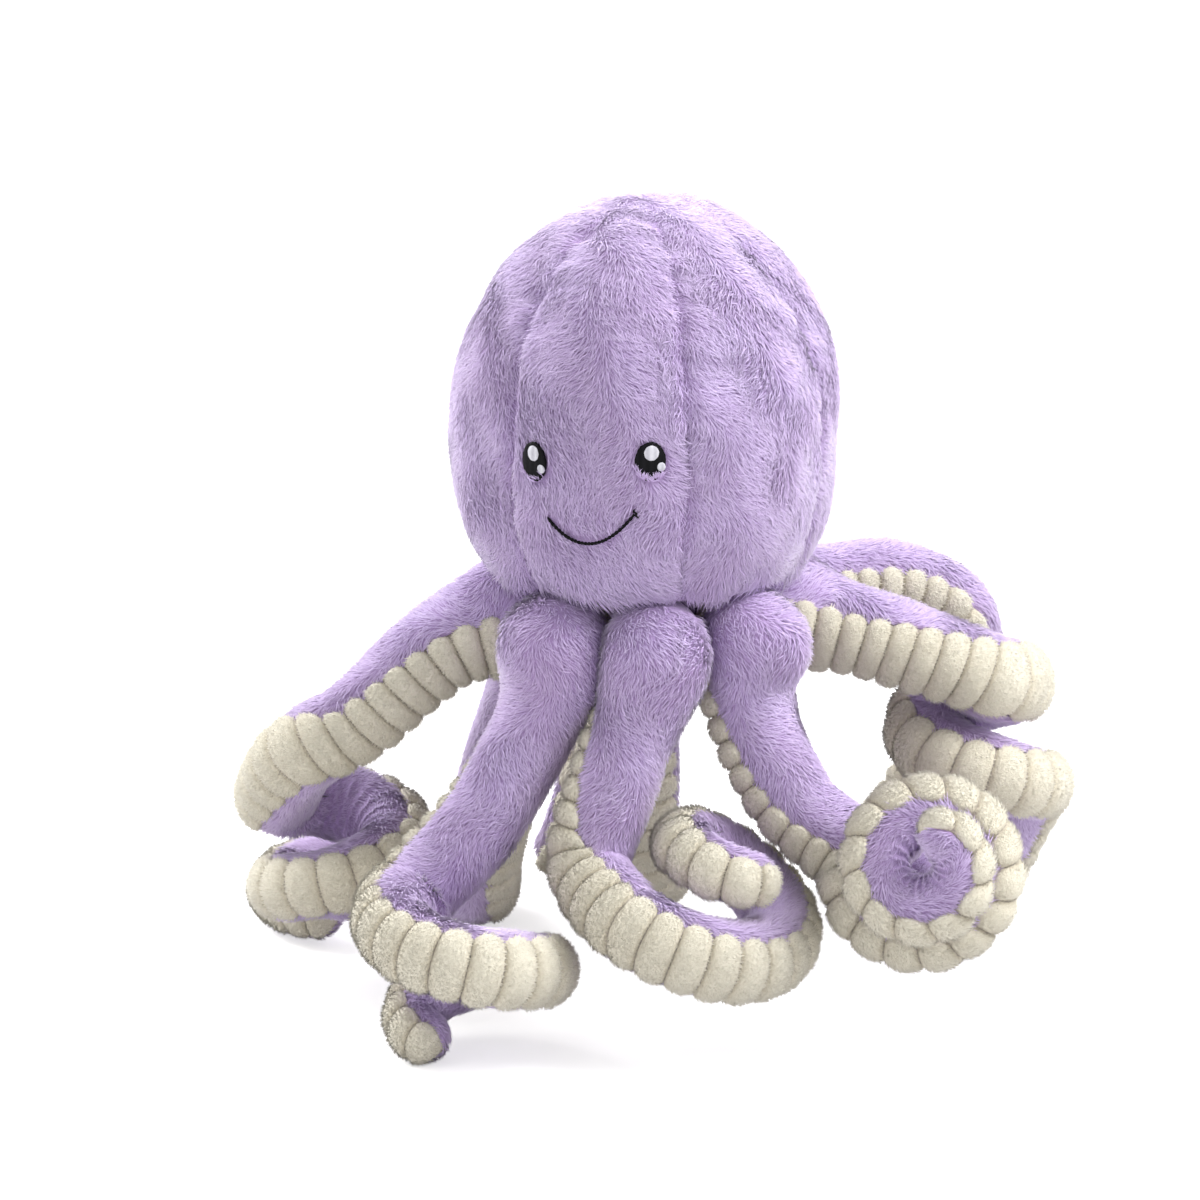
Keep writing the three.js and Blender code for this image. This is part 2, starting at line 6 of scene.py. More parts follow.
import json
import logging
import math
from dataclasses import dataclass, field
from enum import Enum
from functools import partialmethod
from typing import Callable, Union

import bpy
import numpy as np
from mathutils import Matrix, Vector


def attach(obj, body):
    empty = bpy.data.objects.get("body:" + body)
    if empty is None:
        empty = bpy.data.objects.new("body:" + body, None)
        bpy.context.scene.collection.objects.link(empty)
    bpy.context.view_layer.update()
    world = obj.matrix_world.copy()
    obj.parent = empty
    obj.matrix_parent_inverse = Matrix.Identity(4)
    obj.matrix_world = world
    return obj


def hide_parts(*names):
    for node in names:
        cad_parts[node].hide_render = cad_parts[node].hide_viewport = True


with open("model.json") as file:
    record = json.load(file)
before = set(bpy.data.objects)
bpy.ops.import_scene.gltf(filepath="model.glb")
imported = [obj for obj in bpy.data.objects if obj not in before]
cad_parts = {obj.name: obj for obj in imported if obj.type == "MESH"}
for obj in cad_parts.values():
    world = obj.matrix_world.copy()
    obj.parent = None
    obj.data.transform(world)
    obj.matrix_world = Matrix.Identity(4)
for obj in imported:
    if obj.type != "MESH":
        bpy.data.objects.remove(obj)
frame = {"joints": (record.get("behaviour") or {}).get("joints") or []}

LOG = logging.getLogger("plush_octopus")
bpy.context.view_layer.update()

Array = np.ndarray
Numbers = Union[Array, float]
Random = np.random.Generator
Colour = tuple[float, float, float]
Place = tuple[float, float, float]
SkinCall = Callable[[Array, Array, float], Array]

ROOTS = np.array([joint["pos_m"] for joint in frame["joints"]])
MIDDLE = ROOTS.mean(axis=0)
HINGE_HEIGHT = float(MIDDLE[2])
HINGE_RING = float(np.linalg.norm(ROOTS[0] - MIDDLE))
HEAD_BODY = "head"
ARM_TURN = 360.0 / len(ROOTS)
MILLIMETRE = 0.001
FLOOR_GAP = 0.0002
CELL_WAYS = np.array(((12.99, 39.35, 73.16), (78.23, 11.14, 52.24), (37.72, 93.99, 26.63)))
TUFT_POINT = np.array(((0, 1, 3), (1, 2, 3), (2, 0, 3)))
TUFT_SIDES = np.array(((0, 1, 4), (0, 4, 3), (1, 2, 5), (1, 5, 4), (2, 0, 3), (2, 3, 5)))


class Slot(Enum):
    """The finishes of the record that the scene shows."""

    FUR = "lavender_fur"
    PLUSH = "cream_plush"
    BLACK = "black_stitch"
    WHITE = "white_stitch"


def smooth(share: Numbers) -> Array:
    """A share held between 0 and 1 and eased at both ends."""
    held = np.clip(share, 0.0, 1.0)
    return held * held * (3.0 - 2.0 * held)


def bell(off: Array) -> Array:
    """1 at zero, dying away to 0 on both sides."""
    return np.exp(-(off**2))


def from_table(stops: Array, values: Array, share: Array) -> Array:
    """Values read from a table, eased from each stop to the next.

    Args:
        stops: Where each value holds, rising.
        values: The value at each stop.
        share: Where to read.

    Returns:
        The eased values.
    """
    stops, values = np.asarray(stops, float), np.asarray(values, float)
    held = np.clip(share, stops[0], stops[-1])
    at = np.clip(np.searchsorted(stops, held), 1, len(stops) - 1)
    way = (held - stops[at - 1]) / (stops[at] - stops[at - 1])
    return values[at - 1] + (values[at] - values[at - 1]) * smooth(way)


def unit(vectors: Array) -> Array:
    """The vectors, each made one long."""
    return vectors / np.maximum(np.linalg.norm(vectors, axis=-1, keepdims=True), 1e-12)


def dot(first: Array, second: Array) -> Array:
    """The product of each two vectors."""
    return np.einsum("...i,...i->...", first, second)


def across(vectors: Array, ways: Array) -> Array:
    """What is left of the vectors square to each way."""
    return vectors - ways * dot(vectors, ways)[..., None]


def round_place(bearing: Numbers, out: Numbers, up: Numbers) -> Array:
    """Places at bearings in radians, so far out and so far up."""
    return np.stack(np.broadcast_arrays(out * np.sin(bearing), -out * np.cos(bearing), up), axis=-1)


def linear(red: int, green: int, blue: int) -> Colour:
    """A colour given as it looks on a screen, from 0 to 255, as the shader wants it."""
    shares = np.array((red, green, blue)) / 255.0
    return tuple(np.where(shares < 0.04045, shares / 12.92, ((shares + 0.055) / 1.055) ** 2.4).tolist())


@dataclass(frozen=True)
class Drift:
    """A smooth wandering value over space, between about -1 and 1."""

    size: float
    seed: int
    waves: int = 7

    def at(self, points: Array) -> Array:
        """The wandering value at each point.

        Args:
            points: Places, in metres.

        Returns:
            One value for each place.
        """
        rng = np.random.default_rng(self.seed)
        ways = unit(rng.normal(size=(self.waves, 3))) * rng.uniform(0.6, 1.6, (self.waves, 1))
        phases = rng.uniform(0.0, 2.0 * math.pi, self.waves)
        turns = points @ ways.T * (2.0 * math.pi / self.size) + phases
        return np.sin(turns).sum(axis=-1) / math.sqrt(self.waves)


class Shape:
    """Points and faces of one mesh, gathered from several parts."""

    def __init__(self) -> None:
        """An empty shape."""
        self.points: list[Array] = []
        self.faces: dict[int, list[Array]] = {3: [], 4: []}
        self.values: dict[str, list[Array]] = {}
        self.leans: list[Array] = []
        self.count = 0

    def add(
        self, points: Array, triangles: Array = (), quads: Array = (), lean: Numbers = 0.0, **values: Numbers,
    ) -> None:
        """Adds one part.

        Args:
            points: Its points.
            triangles: Its three-sided faces, as numbers of points.
            quads: Its four-sided faces, as numbers of points.
            lean: Where each point's shading leans to.
            values: A named number for each point, or one for all.
        """
        flat = np.asarray(points, float).reshape(-1, 3)
        for corners, faces in ((3, triangles), (4, quads)):
            self.faces[corners].append(np.asarray(faces, int).reshape(-1, corners) + self.count)
        for name, value in values.items():
            self.values.setdefault(name, []).append(np.broadcast_to(value, len(flat)))
        self.leans.append(np.broadcast_to(lean, flat.shape))
        self.points.append(flat)
        self.count += len(flat)

    def rest_on_floor(self) -> None:
        """Presses flat what would reach under the floor."""
        for points in self.points:
            points[:, 2] = np.maximum(points[:, 2], FLOOR_GAP)

    def to_object(self, name: str) -> bpy.types.Object:
        """Makes the mesh, smooth shaded, with its named values.

        Args:
            name: The piece's name.

        Returns:
            The new object, in the scene.
        """
        points = np.concatenate(self.points)
        groups = [np.concatenate(faces) for faces in self.faces.values()]
        sizes = np.concatenate([np.full(len(faces), faces.shape[1]) for faces in groups])
        corners = np.concatenate([faces.ravel() for faces in groups])
        mesh = bpy.data.meshes.new(name)
        mesh.vertices.add(len(points))
        mesh.vertices.foreach_set("co", points.ravel().astype(np.float32))
        mesh.loops.add(len(corners))
        mesh.loops.foreach_set("vertex_index", corners.astype(np.int32))
        mesh.polygons.add(len(sizes))
        mesh.polygons.foreach_set("loop_start", (np.cumsum(sizes) - sizes).astype(np.int32))
        mesh.polygons.foreach_set("use_smooth", np.ones(len(sizes), bool))
        for label, parts in self.values.items():
            held = mesh.attributes.new(label, "FLOAT", "POINT")
            held.data.foreach_set("value", np.concatenate(parts).astype(np.float32))
        mesh.update(calc_edges=True)
        facing = np.zeros(points.size, np.float32)
        mesh.vertex_normals.foreach_get("vector", facing)
        leant = unit(facing.reshape(-1, 3) + np.concatenate(self.leans))
        held = mesh.attributes.new("custom_normal", "FLOAT_VECTOR", "POINT")
        held.data.foreach_set("vector", leant.ravel().astype(np.float32))
        piece = bpy.data.objects.new(name, mesh)
        bpy.context.scene.collection.objects.link(piece)
        return piece


def grid_faces(rows: int, columns: int, closed: bool = False) -> Array:
    """Four-sided faces over a grid of points.

    Args:
        rows: Points one way.
        columns: Points the other way.
        closed: Whether each row is a closed ring.

    Returns:
        The faces, as numbers of points.
    """
    numbers = np.arange(rows * columns).reshape(rows, columns)
    ahead = np.roll(numbers, -1, axis=1)
    faces = np.stack([numbers[:-1], ahead[:-1], ahead[1:], numbers[1:]], axis=-1)
    return (faces if closed else faces[:, :-1]).reshape(-1, 4)


def closed_shell(outer: Array, inner: Array) -> dict[str, Array]:
    """A closed body between two grids of points of the same size.

    Args:
        outer: The outer grid, (rows, columns, 3).
        inner: The inner grid, of the same size.

    Returns:
        What a shape adds: its points and its four-sided faces, all facing outward.
    """
    rows, columns = outer.shape[:2]
    points = np.concatenate([outer.reshape(-1, 3), inner.reshape(-1, 3)])
    half = rows * columns
    skin = grid_faces(rows, columns)
    numbers = np.arange(half).reshape(rows, columns)
    rim = np.concatenate([numbers[0, :-1], numbers[:-1, -1], numbers[-1, :0:-1], numbers[:0:-1, 0]])
    ahead = np.roll(rim, -1)
    wall = np.stack([ahead, rim, rim + half, ahead + half], axis=1)
    quads = np.concatenate([skin, skin[:, ::-1] + half, wall])
    a, b, c, d = (points[quads[:, i]] for i in range(4))
    volume = dot(a, np.cross(b, c) + np.cross(c, d)).sum()
    return {"points": points, "quads": quads if volume > 0.0 else quads[:, ::-1]}


def closed_rings(rings: Array, first: Array, last: Array, turned: bool = False) -> dict[str, Array]:
    """A closed body of rings, each end closed by a fan.

    Args:
        rings: The rings, (rows, around, 3).
        first: The middle of the first ring's fan.
        last: The middle of the last ring's fan.
        turned: Whether its faces are turned over.

    Returns:
        What a shape adds: its points and faces.
    """
    rows, around = rings.shape[:2]
    count, start = rows * around, np.arange(around)
    ahead, end = np.roll(start, -1), (rows - 1) * around
    fans = np.concatenate([
        np.stack([np.full(around, count), ahead, start], axis=1),
        np.stack([np.full(around, count + 1), start + end, ahead + end], axis=1),
    ])
    quads = grid_faces(rows, around, closed=True)
    if turned:
        fans, quads = fans[:, [0, 2, 1]], quads[:, [0, 3, 2, 1]]
    return {"points": np.vstack([rings.reshape(-1, 3), first, last]), "triangles": fans, "quads": quads}


def skin_normals(skin: SkinCall, first: Array, second: Array, steps: tuple[float, float], inside: Array) -> Array:
    """Which way a skin faces, from the places close by on it.

    Args:
        skin: Gives places from two measures and a depth.
        first: The first measure of each place.
        second: The second measure of each place.
        steps: A short step of each measure.
        inside: A point inside the body at each place.

    Returns:
        A vector one long for each place, away from the inside.
    """
    along = skin(first + steps[0], second, 0.0) - skin(first - steps[0], second, 0.0)
    aside = skin(first, second + steps[1], 0.0) - skin(first, second - steps[1], 0.0)
    normals = unit(np.cross(along, aside))
    return normals * np.sign(dot(normals, skin(first, second, 0.0) - inside))[:, None]


@dataclass(frozen=True)
class Pile:
    """How a fur stands on its cloth: the sizes of one tuft and of the locks that tufts gather in."""

    spacing: float
    length: float
    width: float
    lift: float
    lock: float
    gather: float = 0.3
    waver: float = 0.24
    bent: bool = False
    soft: float = 2.0
    tip_along: float = 0.86

    def grow(
        self, shape: Shape, roots: Array, normals: Array, combed: Array, rng: Random,
        shares: Numbers = 1.0, shade: Numbers = 0.0, lifts: Numbers = 1.0,
    ) -> None:
        """Adds one three-sided tuft at each root, closed but for its foot in the cloth.

        Args:
            shape: The mesh that gets the tufts.
            roots: Where each tuft stands.
            normals: Which way the cloth faces there.
            combed: Which way the fur is combed there.
            rng: The source of chance.
            shares: Each tuft's length, as a share of the pile's.
            shade: How much darker each tuft is, from 0 to 1: painted shade, and painted light where it is below 0.
            lifts: How far each tuft stands off the cloth, as a share of the pile's.
        """
        count = len(roots)
        combed = unit(across(combed, normals))
        side = np.cross(normals, combed)
        turn = rng.normal(0.0, self.waver, (count, 1))
        combed, side = combed * np.cos(turn) + side * np.sin(turn), side * np.cos(turn) - combed * np.sin(turn)
        reach = self.length * np.broadcast_to(shares, count)[:, None] * rng.uniform(0.78, 1.18, (count, 1))
        cell = np.floor(roots / self.lock)
        chance = np.modf(np.abs(np.sin(cell @ CELL_WAYS)) * 4375.85)[0]
        pull = across((cell + 0.15 + 0.7 * chance) * self.lock - roots, normals)
        pull *= self.gather * np.minimum(reach / self.length, 1.0)
        lift = self.lift * np.broadcast_to(lifts, count)[:, None] * rng.uniform(0.75, 1.2, (count, 1))
        middle = roots + combed * reach * 0.4 + normals * reach * lift * 0.72 + pull * 0.4
        tip = roots + combed * reach * self.tip_along + normals * reach * lift + pull
        wide = self.width * rng.uniform(0.75, 1.25, (count, 1)) / 2.0
        rings = [(roots - normals * wide, wide)] + [(middle, wide * 0.92)] * self.bent
        ways = (-side, side, normals * 0.8)
        points = np.stack([place + way * half for place, half in rings for way in ways] + [tip], axis=1)
        each = points.shape[1]
        pattern = np.concatenate([TUFT_SIDES, TUFT_POINT + 3]) if self.bent else TUFT_POINT
        triangles = pattern + each * np.arange(count)[:, None, None]
        # The tufts darken towards their roots: painted shade between the tufts.
        heights = (0.3, 0.3, 0.3, 0.6, 0.6, 0.7, 1.0) if self.bent else (0.1, 0.1, 0.2, 1.0)
        lock = np.repeat(0.55 * chance[:, 0] + 0.45 * rng.uniform(0.0, 1.0, count) - shade, each)
        lean = np.repeat(normals * self.soft, each, axis=0)
        shape.add(points, triangles=triangles, lean=lean, height=np.tile(heights, count), lock=lock)


class Wire:
    """One shader value that takes part in sums."""

    def __init__(self, bench: "Bench", socket: bpy.types.NodeSocket) -> None:
        """A value at a bench, carried by an output there."""
        self.bench, self.socket = bench, socket

    def maths(self, operation: str, other: Union["Wire", float]) -> "Wire":
        """The result of one sum on this value and another."""
        return self.bench.node("ShaderNodeMath", {0: self, 1: other}, operation=operation)

    __add__ = __radd__ = partialmethod(maths, "ADD")
    __sub__ = partialmethod(maths, "SUBTRACT")
    __mul__ = __rmul__ = partialmethod(maths, "MULTIPLY")

    def held(self) -> "Wire":
        """This value, held between 0 and 1."""
        return self.maths("MAXIMUM", 0.0).maths("MINIMUM", 1.0)


class Bench:
    """The node tree of a material or a world, and the ways to add to it."""

    def __init__(self, owner: Union[bpy.types.Material, bpy.types.World]) -> None:
        """Turns the owner's nodes on."""
        owner.use_nodes = True
        self.owner, self.tree = owner, owner.node_tree

    def node(
        self, kind: str, inputs: Union[dict, None] = None, output: Union[int, str] = 0, **settings: str,
    ) -> Wire:
        """Adds any node.

        Args:
            kind: The node's type.
            inputs: Values or wires for its sockets.
            output: Which output is wanted.
            settings: Its own settings, set first.

        Returns:
            The wanted output.
        """
        made = self.tree.nodes.new(kind)
        for key, value in settings.items():
            setattr(made, key, value)
        self.feed(made, inputs or {})
        return Wire(self, made.outputs[output])

    def feed(self, node: bpy.types.Node, inputs: dict) -> None:
        """Links wires to a node's sockets, or sets the sockets' own values.

        Args:
            node: The node.
            inputs: A value or a wire for each socket's name or number.
        """
        for key, value in inputs.items():
            if isinstance(value, Wire):
                self.tree.links.new(value.socket, node.inputs[key])
            else:
                node.inputs[key].default_value = value

    def ramp(self, share: Wire, *stops: tuple[float, Colour]) -> Wire:
        """Colours read from a table.

        Args:
            share: Where to read it, from 0 to 1.
            stops: Places from 0 to 1, each with its colour.

        Returns:
            The colour.
        """
        made = self.node("ShaderNodeValToRGB", {0: share})
        elements = made.socket.node.color_ramp.elements
        while len(elements) < len(stops):
            elements.new(1.0)
        for element, (place, colour) in zip(elements, stops):
            element.position, element.color = place, (*colour, 1.0)
        return made

    def mix(self, share: Wire, first: Union[Wire, Colour], second: Colour) -> Wire:
        """Two colours mixed, with that share of the second."""
        first = first if isinstance(first, Wire) else (*first, 1.0)
        return self.node("ShaderNodeMix", {0: share, 6: first, 7: (*second, 1.0)}, 2, data_type="RGBA")

    def own(self, name: str) -> Wire:
        """A named number of the mesh."""
        return self.node("ShaderNodeAttribute", output="Fac", attribute_name=name)

    def places(self) -> Wire:
        """Places on the piece, which move with it."""
        return self.node("ShaderNodeTexCoord", output="Object")

    def noise(self, size: float, detail: float = 3.0) -> Wire:
        """Soft cloudy values from 0 to 1, with clouds of a size in metres and so many finer layers."""
        return self.node("ShaderNodeTexNoise", {"Vector": self.places(), "Scale": 1.0 / size, "Detail": detail})

    def rays(self, *kinds: str) -> list[Wire]:
        """Whether the ray is of each kind, 0 or 1."""
        path = self.node("ShaderNodeLightPath").socket.node
        return [Wire(self, path.outputs[f"Is {kind} Ray"]) for kind in kinds]

    def finish(self, colour: Wire, roughness: Wire, relief: Wire, depth: float, **plain: float) -> bpy.types.Material:
        """Joins the surface up.

        Args:
            colour: The surface's colour.
            roughness: Its roughness.
            relief: Its fine relief, from 0 to 1.
            depth: The relief's depth, in metres.
            plain: Values that are the same all over, by socket with _ for each space.

        Returns:
            The finished material.
        """
        bump = self.node("ShaderNodeBump", {"Strength": 1.0, "Distance": depth, "Height": relief})
        varying = {"Base Color": colour, "Roughness": roughness, "Normal": bump}
        same = {key.replace("_", " "): value for key, value in plain.items()}
        self.feed(self.tree.nodes["Principled BSDF"], {**varying, **same})
        return self.owner


@dataclass(frozen=True)
class Finish:
    """A material of the record."""

    slot: Slot

    def bench(self) -> Bench:
        """A new material with the finish's name."""
        return Bench(bpy.data.materials.new(self.slot.value))


@dataclass(frozen=True)
class FurFinish(Finish):
    """Fur with painted shade: dark at the tufts' roots and on the cloth between them, pale at their tips."""

    root: Colour = linear(160, 132, 184)
    middle: Colour = linear(194, 170, 219)
    tip: Colour = linear(226, 209, 247)
    cloud: Colour = linear(184, 152, 196)
    cloud_size: float = 0.045
    stray_size: float = 0.0021
    grain_size: float = 0.0007
    grain_depth: float = 0.00015

    def make(self) -> bpy.types.Material:
        """The finished material."""
        bench = self.bench()
        stray = bench.noise(self.stray_size)
        height = (bench.own("height") + (stray - 0.5) * 0.4 + (bench.own("lock") - 0.5) * 0.35).held()
        dyed = bench.ramp(height, (0.0, self.root), (0.4, self.middle), (1.0, self.tip))
        clouded = (bench.noise(self.cloud_size) * 1.6 - 0.5).held() * 0.45
        return bench.finish(
            bench.mix(clouded, dyed, self.cloud), 0.78 + 0.18 * stray,
            bench.noise(self.grain_size, 2.0), self.grain_depth,
            Sheen_Weight=0.5, Sheen_Roughness=0.5, Specular_IOR_Level=0.2,
        )


@dataclass(frozen=True)
class PlushFinish(Finish):
    """Cream short pile, with painted shade that makes it darker between its ribs."""

    valley: Colour = linear(172, 161, 152)
    side: Colour = linear(212, 204, 184)
    crest: Colour = linear(233, 228, 211)
    stray_size: float = 0.0013
    grain_size: float = 0.0009
    grain_depth: float = 0.0006

    def make(self) -> bpy.types.Material:
        """The finished material."""
        bench = self.bench()
        stray = bench.noise(self.stray_size)
        height = (bench.own("height") + (stray - 0.5) * 0.9 + (bench.own("lock") - 0.5) * 0.55).held()
        dyed = bench.ramp(height, (0.0, self.valley), (0.28, self.side), (1.0, self.crest))
        return bench.finish(
            dyed, 0.82 + 0.15 * stray, bench.noise(self.grain_size), self.grain_depth,
            Sheen_Weight=0.25, Sheen_Roughness=0.5, Specular_IOR_Level=0.2,
        )


@dataclass(frozen=True)
class StitchFinish(Finish):
    """Embroidery thread, with the fine cords of its stitches."""

    dark: Colour
    light: Colour
    stitch: float = 0.00055
    stray_size: float = 0.0011
    grain_depth: float = 0.0001

    def make(self) -> bpy.types.Material:
        """The finished material."""
        bench = self.bench()
        stray = bench.noise(self.stray_size)
        inputs = {"Vector": bench.places(), "Scale": 1.0 / (self.stitch * 20.0), "Distortion": 0.6}
        cords = bench.node("ShaderNodeTexWave", inputs, "Fac", wave_type="BANDS", bands_direction="X")
        colour = bench.mix((cords * 0.6 + stray * 0.5 - 0.1).held(), self.dark, self.light)
        return bench.finish(
            colour, 0.5 + 0.25 * stray, cords * 0.7 + stray * 0.3, self.grain_depth, Specular_IOR_Level=0.1,
        )


class Workroom:
    """Each finish, made once."""

    def __init__(self) -> None:
        """Makes the finishes."""
        self.finishes = {finish.slot: finish.make() for finish in (
            FurFinish(Slot.FUR), PlushFinish(Slot.PLUSH),
            StitchFinish(Slot.BLACK, linear(5, 5, 7), linear(20, 19, 23)),
            StitchFinish(Slot.WHITE, linear(184, 183, 192), linear(224, 224, 231)),
        )}

    def dress(
        self, shape: Shape, name: str, slot: Slot, body: str, *nodes: str, fill: Union[float, None] = None,
    ) -> None:
        """Makes a piece, with its finish, its body and the solids that it stands for.

        Args:
            shape: Its points and faces.
            name: Its name.
            slot: Its finish.
            body: What it moves with.
            nodes: The solids that it replaces.
            fill: How tightly it is stuffed, if it is; not used.
        """
        piece = shape.to_object(name)
        piece.data.materials.append(self.finishes[slot])
        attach(piece, body)
        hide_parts(*nodes)
        LOG.info("%s: %d faces", name, len(piece.data.polygons))


@dataclass(frozen=True)
class Oval:
    """A patch of embroidery on the head: its middle by bearing in degrees and height over the hinges, and its size."""

    bearing: float
    height: float
    width: float
    tall: float


@dataclass
class Head:
    """The stuffed head, its face and its underside."""

    room: Workroom
    radius: float = 0.0975
    crown_rise: float = 0.117
    waist_drop: float = 0.150
    waist: float = 0.102
    rim_height: float = 0.0274
    top: float = 89.0
    gore_count: int = 6
    seam_dip: float = 0.0024
    seam_groove: float = 0.0018
    groove_width: float = 0.0040
    tuck: float = 0.004
    tuck_from: float = -12.0
    cloth: float = 0.003
    skin_depth: float = 0.0046
    swell_rise: float = 0.0012
    pucker_rise: float = 0.0006
    press_rows: int = 64
    press_columns: int = 144
    press_frames: int = 20
    press_share: float = 0.8
    press_limit: float = 0.003
    pressure: float = 4.0
    shrink: float = -0.04
    gore_rows: int = 60
    gore_columns: int = 26
    parting: float = 0.007
    seam_shadow: float = 0.0028
    crown_from: float = 25.0
    hem_turn: float = 9.0
    gap_turn: float = 6.5
    chin_from: float = 12.0
    root_groove: float = 0.0267
    under: float = -0.0246
    stitch_rise: float = 0.0027
    stitch: float = 0.00055
    stitch_rings: int = 34
    stitch_turns: int = 120
    stitch_depth: float = 0.0012
    cord_rise: float = 0.00012
    eye_dome: float = 0.0010
    glint_rise: float = 0.0009
    glint_dome: float = 0.0005
    eye_clear: tuple[float, float, float] = (0.0004, -0.0016, -0.0006)
    smile_clear: tuple[float, float] = (-0.0006, 0.0055)
    eye_bearing: float = 18.4
    eye_heights: tuple[float, float] = (0.0996, 0.1041)
    eye_size: tuple[float, float] = (0.0160, 0.0202)
    eye_fringes: tuple[int, int] = (30, 110)
    glints: tuple[tuple[str, float, float, float], ...] = (
        ("large", 0.0075, 0.06, 0.45), ("small", 0.0043, 0.68, -0.26),
    )
    smile_height: float = 0.0615
    smile_rise: float = 0.0135
    smile_tilt: float = 0.0026
    smile_bearing: float = 13.7
    thread: float = 0.0006
    thread_sides: int = 8
    fill: float = 0.85
    pile: Pile = Pile(0.00094, 0.0064, 0.00084, 0.38, 0.0046)
    guard: Pile = Pile(0.0022, 0.0082, 0.00062, 0.27, 0.0085, 0.5, 0.3, bent=True)
    swell: Drift = Drift(0.11, 11)
    swirl: Drift = Drift(0.050, 12)
    pucker: Drift = Drift(0.020, 13)
    pressed: Array = field(default_factory=lambda: np.zeros((2, 2)))

    @property
    def gore_width(self) -> float:
        """How wide a gore is, in degrees."""
        return 360.0 / self.gore_count

    @property
    def low(self) -> float:
        """The rim's latitude: degrees over the widest round, so less than zero."""
        return float(self.latitude_of(self.rim_height))

    def rise(self, over: Numbers) -> Array:
        """How tall the head is on that side of its widest round, above it or below."""
        return np.where(over > 0.0, self.crown_rise, self.waist_drop)

    def ring(self, latitude: Numbers) -> Array:
        """How far the head's round reaches out at a latitude."""
        return self.radius * np.cos(np.radians(latitude))

    def latitude_of(self, height: Numbers) -> Array:
        """Degrees over the widest round of a height over the hinges."""
        over = height - self.waist
        return np.degrees(np.arcsin(np.clip(over / self.rise(over), -1.0, 1.0)))

    def height_of(self, latitude: Numbers) -> Array:
        """The height over the hinges of a latitude."""
        return self.waist + self.rise(latitude) * np.sin(np.radians(latitude))

    def seam_distance(self, bearing: Array, latitude: Array) -> Array:
        """How far along the surface a place is from the nearest seam, positive towards larger bearings."""
        off = np.mod(bearing, self.gore_width) - self.gore_width / 2.0
        return np.radians(off) * self.ring(latitude)

    def egg(self, bearing: Array, latitude: Array) -> tuple[Array, Array]:
        """The bare egg, without its seams and swells.

        Args:
            bearing: Bearings in degrees.
            latitude: Degrees over the widest round.

        Returns:
            Places from the hinges' middle, and which way each faces.
        """
        turn, tilt = np.radians(bearing), np.radians(latitude)
        facing = unit(np.stack([self.rise(latitude) * np.cos(tilt), self.radius * np.sin(tilt)], axis=-1))
        places = round_place(turn, self.ring(latitude), self.height_of(latitude))
        return places, round_place(turn, facing[..., 0], facing[..., 1])

    def skin(self, bearing: Array, latitude: Array, depth: float) -> Array:
        """Places on the head's cloth.

        Args:
            bearing: Bearings in degrees.
            latitude: Degrees over the widest round.
            depth: How far under the cloth.

        Returns:
            The places.
        """
        base, ways = self.egg(bearing, latitude)
        over_seam = np.abs(np.cos(np.radians(np.mod(bearing, self.gore_width) * 180.0 / self.gore_width)))
        away = self.seam_distance(bearing, latitude) / self.groove_width
        dip = self.seam_dip * (1.0 - over_seam) + self.seam_groove * bell(away)
        tucked = self.tuck * np.clip((self.tuck_from - latitude) / (self.tuck_from - self.low), 0.0, 1.2) ** 2
        swollen = self.swell_rise * self.swell.at(base) + self.pucker_rise * self.pucker.at(base) * bell(away / 3.2)
        sunk = dip * np.cos(np.radians(latitude)) + tucked + depth + self.skin_depth - swollen
        return base - ways * (sunk - self.pressed_out(bearing, latitude))[..., None] + MIDDLE

    def pressed_out(self, bearing: Array, latitude: Array) -> Array:
        """How far the stuffing presses the cloth out, read from the simulated head.

        Args:
            bearing: Bearings in degrees.
            latitude: Degrees over the widest round.

        Returns:
            The way out at each place.
        """
        rows, columns = self.pressed.shape
        row = np.clip((latitude - self.low) / (self.top - self.low) * (rows - 1), 0.0, rows - 1.001)
        column = np.mod(bearing, 360.0) / 360.0 * columns
        i, j = row.astype(int), column.astype(int)
        up, on = row - i, column - j
        near, far = (
            self.pressed[k, j % columns] * (1.0 - on) + self.pressed[k, (j + 1) % columns] * on for k in (i, i + 1)
        )
        return near * (1.0 - up) + far * up

    def press_out(self) -> None:
        """Lets the stuffing press the cloth out between its sewn seams, in a short cloth simulation."""
        rows, columns, scene = self.press_rows, self.press_columns, bpy.context.scene
        latitude = np.linspace(self.low, self.top, rows)[:, None] + np.zeros(columns)
        bearing = np.arange(columns) * 360.0 / columns + np.zeros((rows, 1))
        start = self.skin(bearing, latitude, 0.0)
        shape = Shape()
        shape.add(start, quads=grid_faces(rows, columns, closed=True))
        piece = shape.to_object("head_cloth")
        sewn = np.abs(self.seam_distance(bearing, latitude)) < MILLIMETRE
        sewn[:2], sewn[-2:] = True, True
        piece.vertex_groups.new(name="sewn").add(np.flatnonzero(sewn).tolist(), 1.0, "REPLACE")
        cloth = piece.modifiers.new("cloth", "CLOTH")
        cloth.settings.vertex_group_mass = "sewn"
        cloth.settings.use_pressure = True
        cloth.settings.uniform_pressure_force = self.pressure
        cloth.settings.shrink_min = self.shrink
        cloth.settings.effector_weights.gravity = 0.0
        cloth.point_cache.frame_start, cloth.point_cache.frame_end = 1, self.press_frames
        for number in range(1, self.press_frames + 1):
            scene.frame_set(number)
        swollen = piece.evaluated_get(bpy.context.evaluated_depsgraph_get()).data
        moved = np.zeros(start.size, np.float32)
        swollen.vertices.foreach_get("co", moved)
        scene.frame_set(1)
        bpy.data.objects.remove(piece)
        out = dot(moved.reshape(start.shape) - start, self.egg(bearing, latitude)[1])
        LOG.info("stuffing presses out %.1f to %.1f mm", out.min() / MILLIMETRE, out.max() / MILLIMETRE)
        for _ in range(3):
            out = (np.roll(out, 1, axis=1) + 2.0 * out + np.roll(out, -1, axis=1)) / 4.0
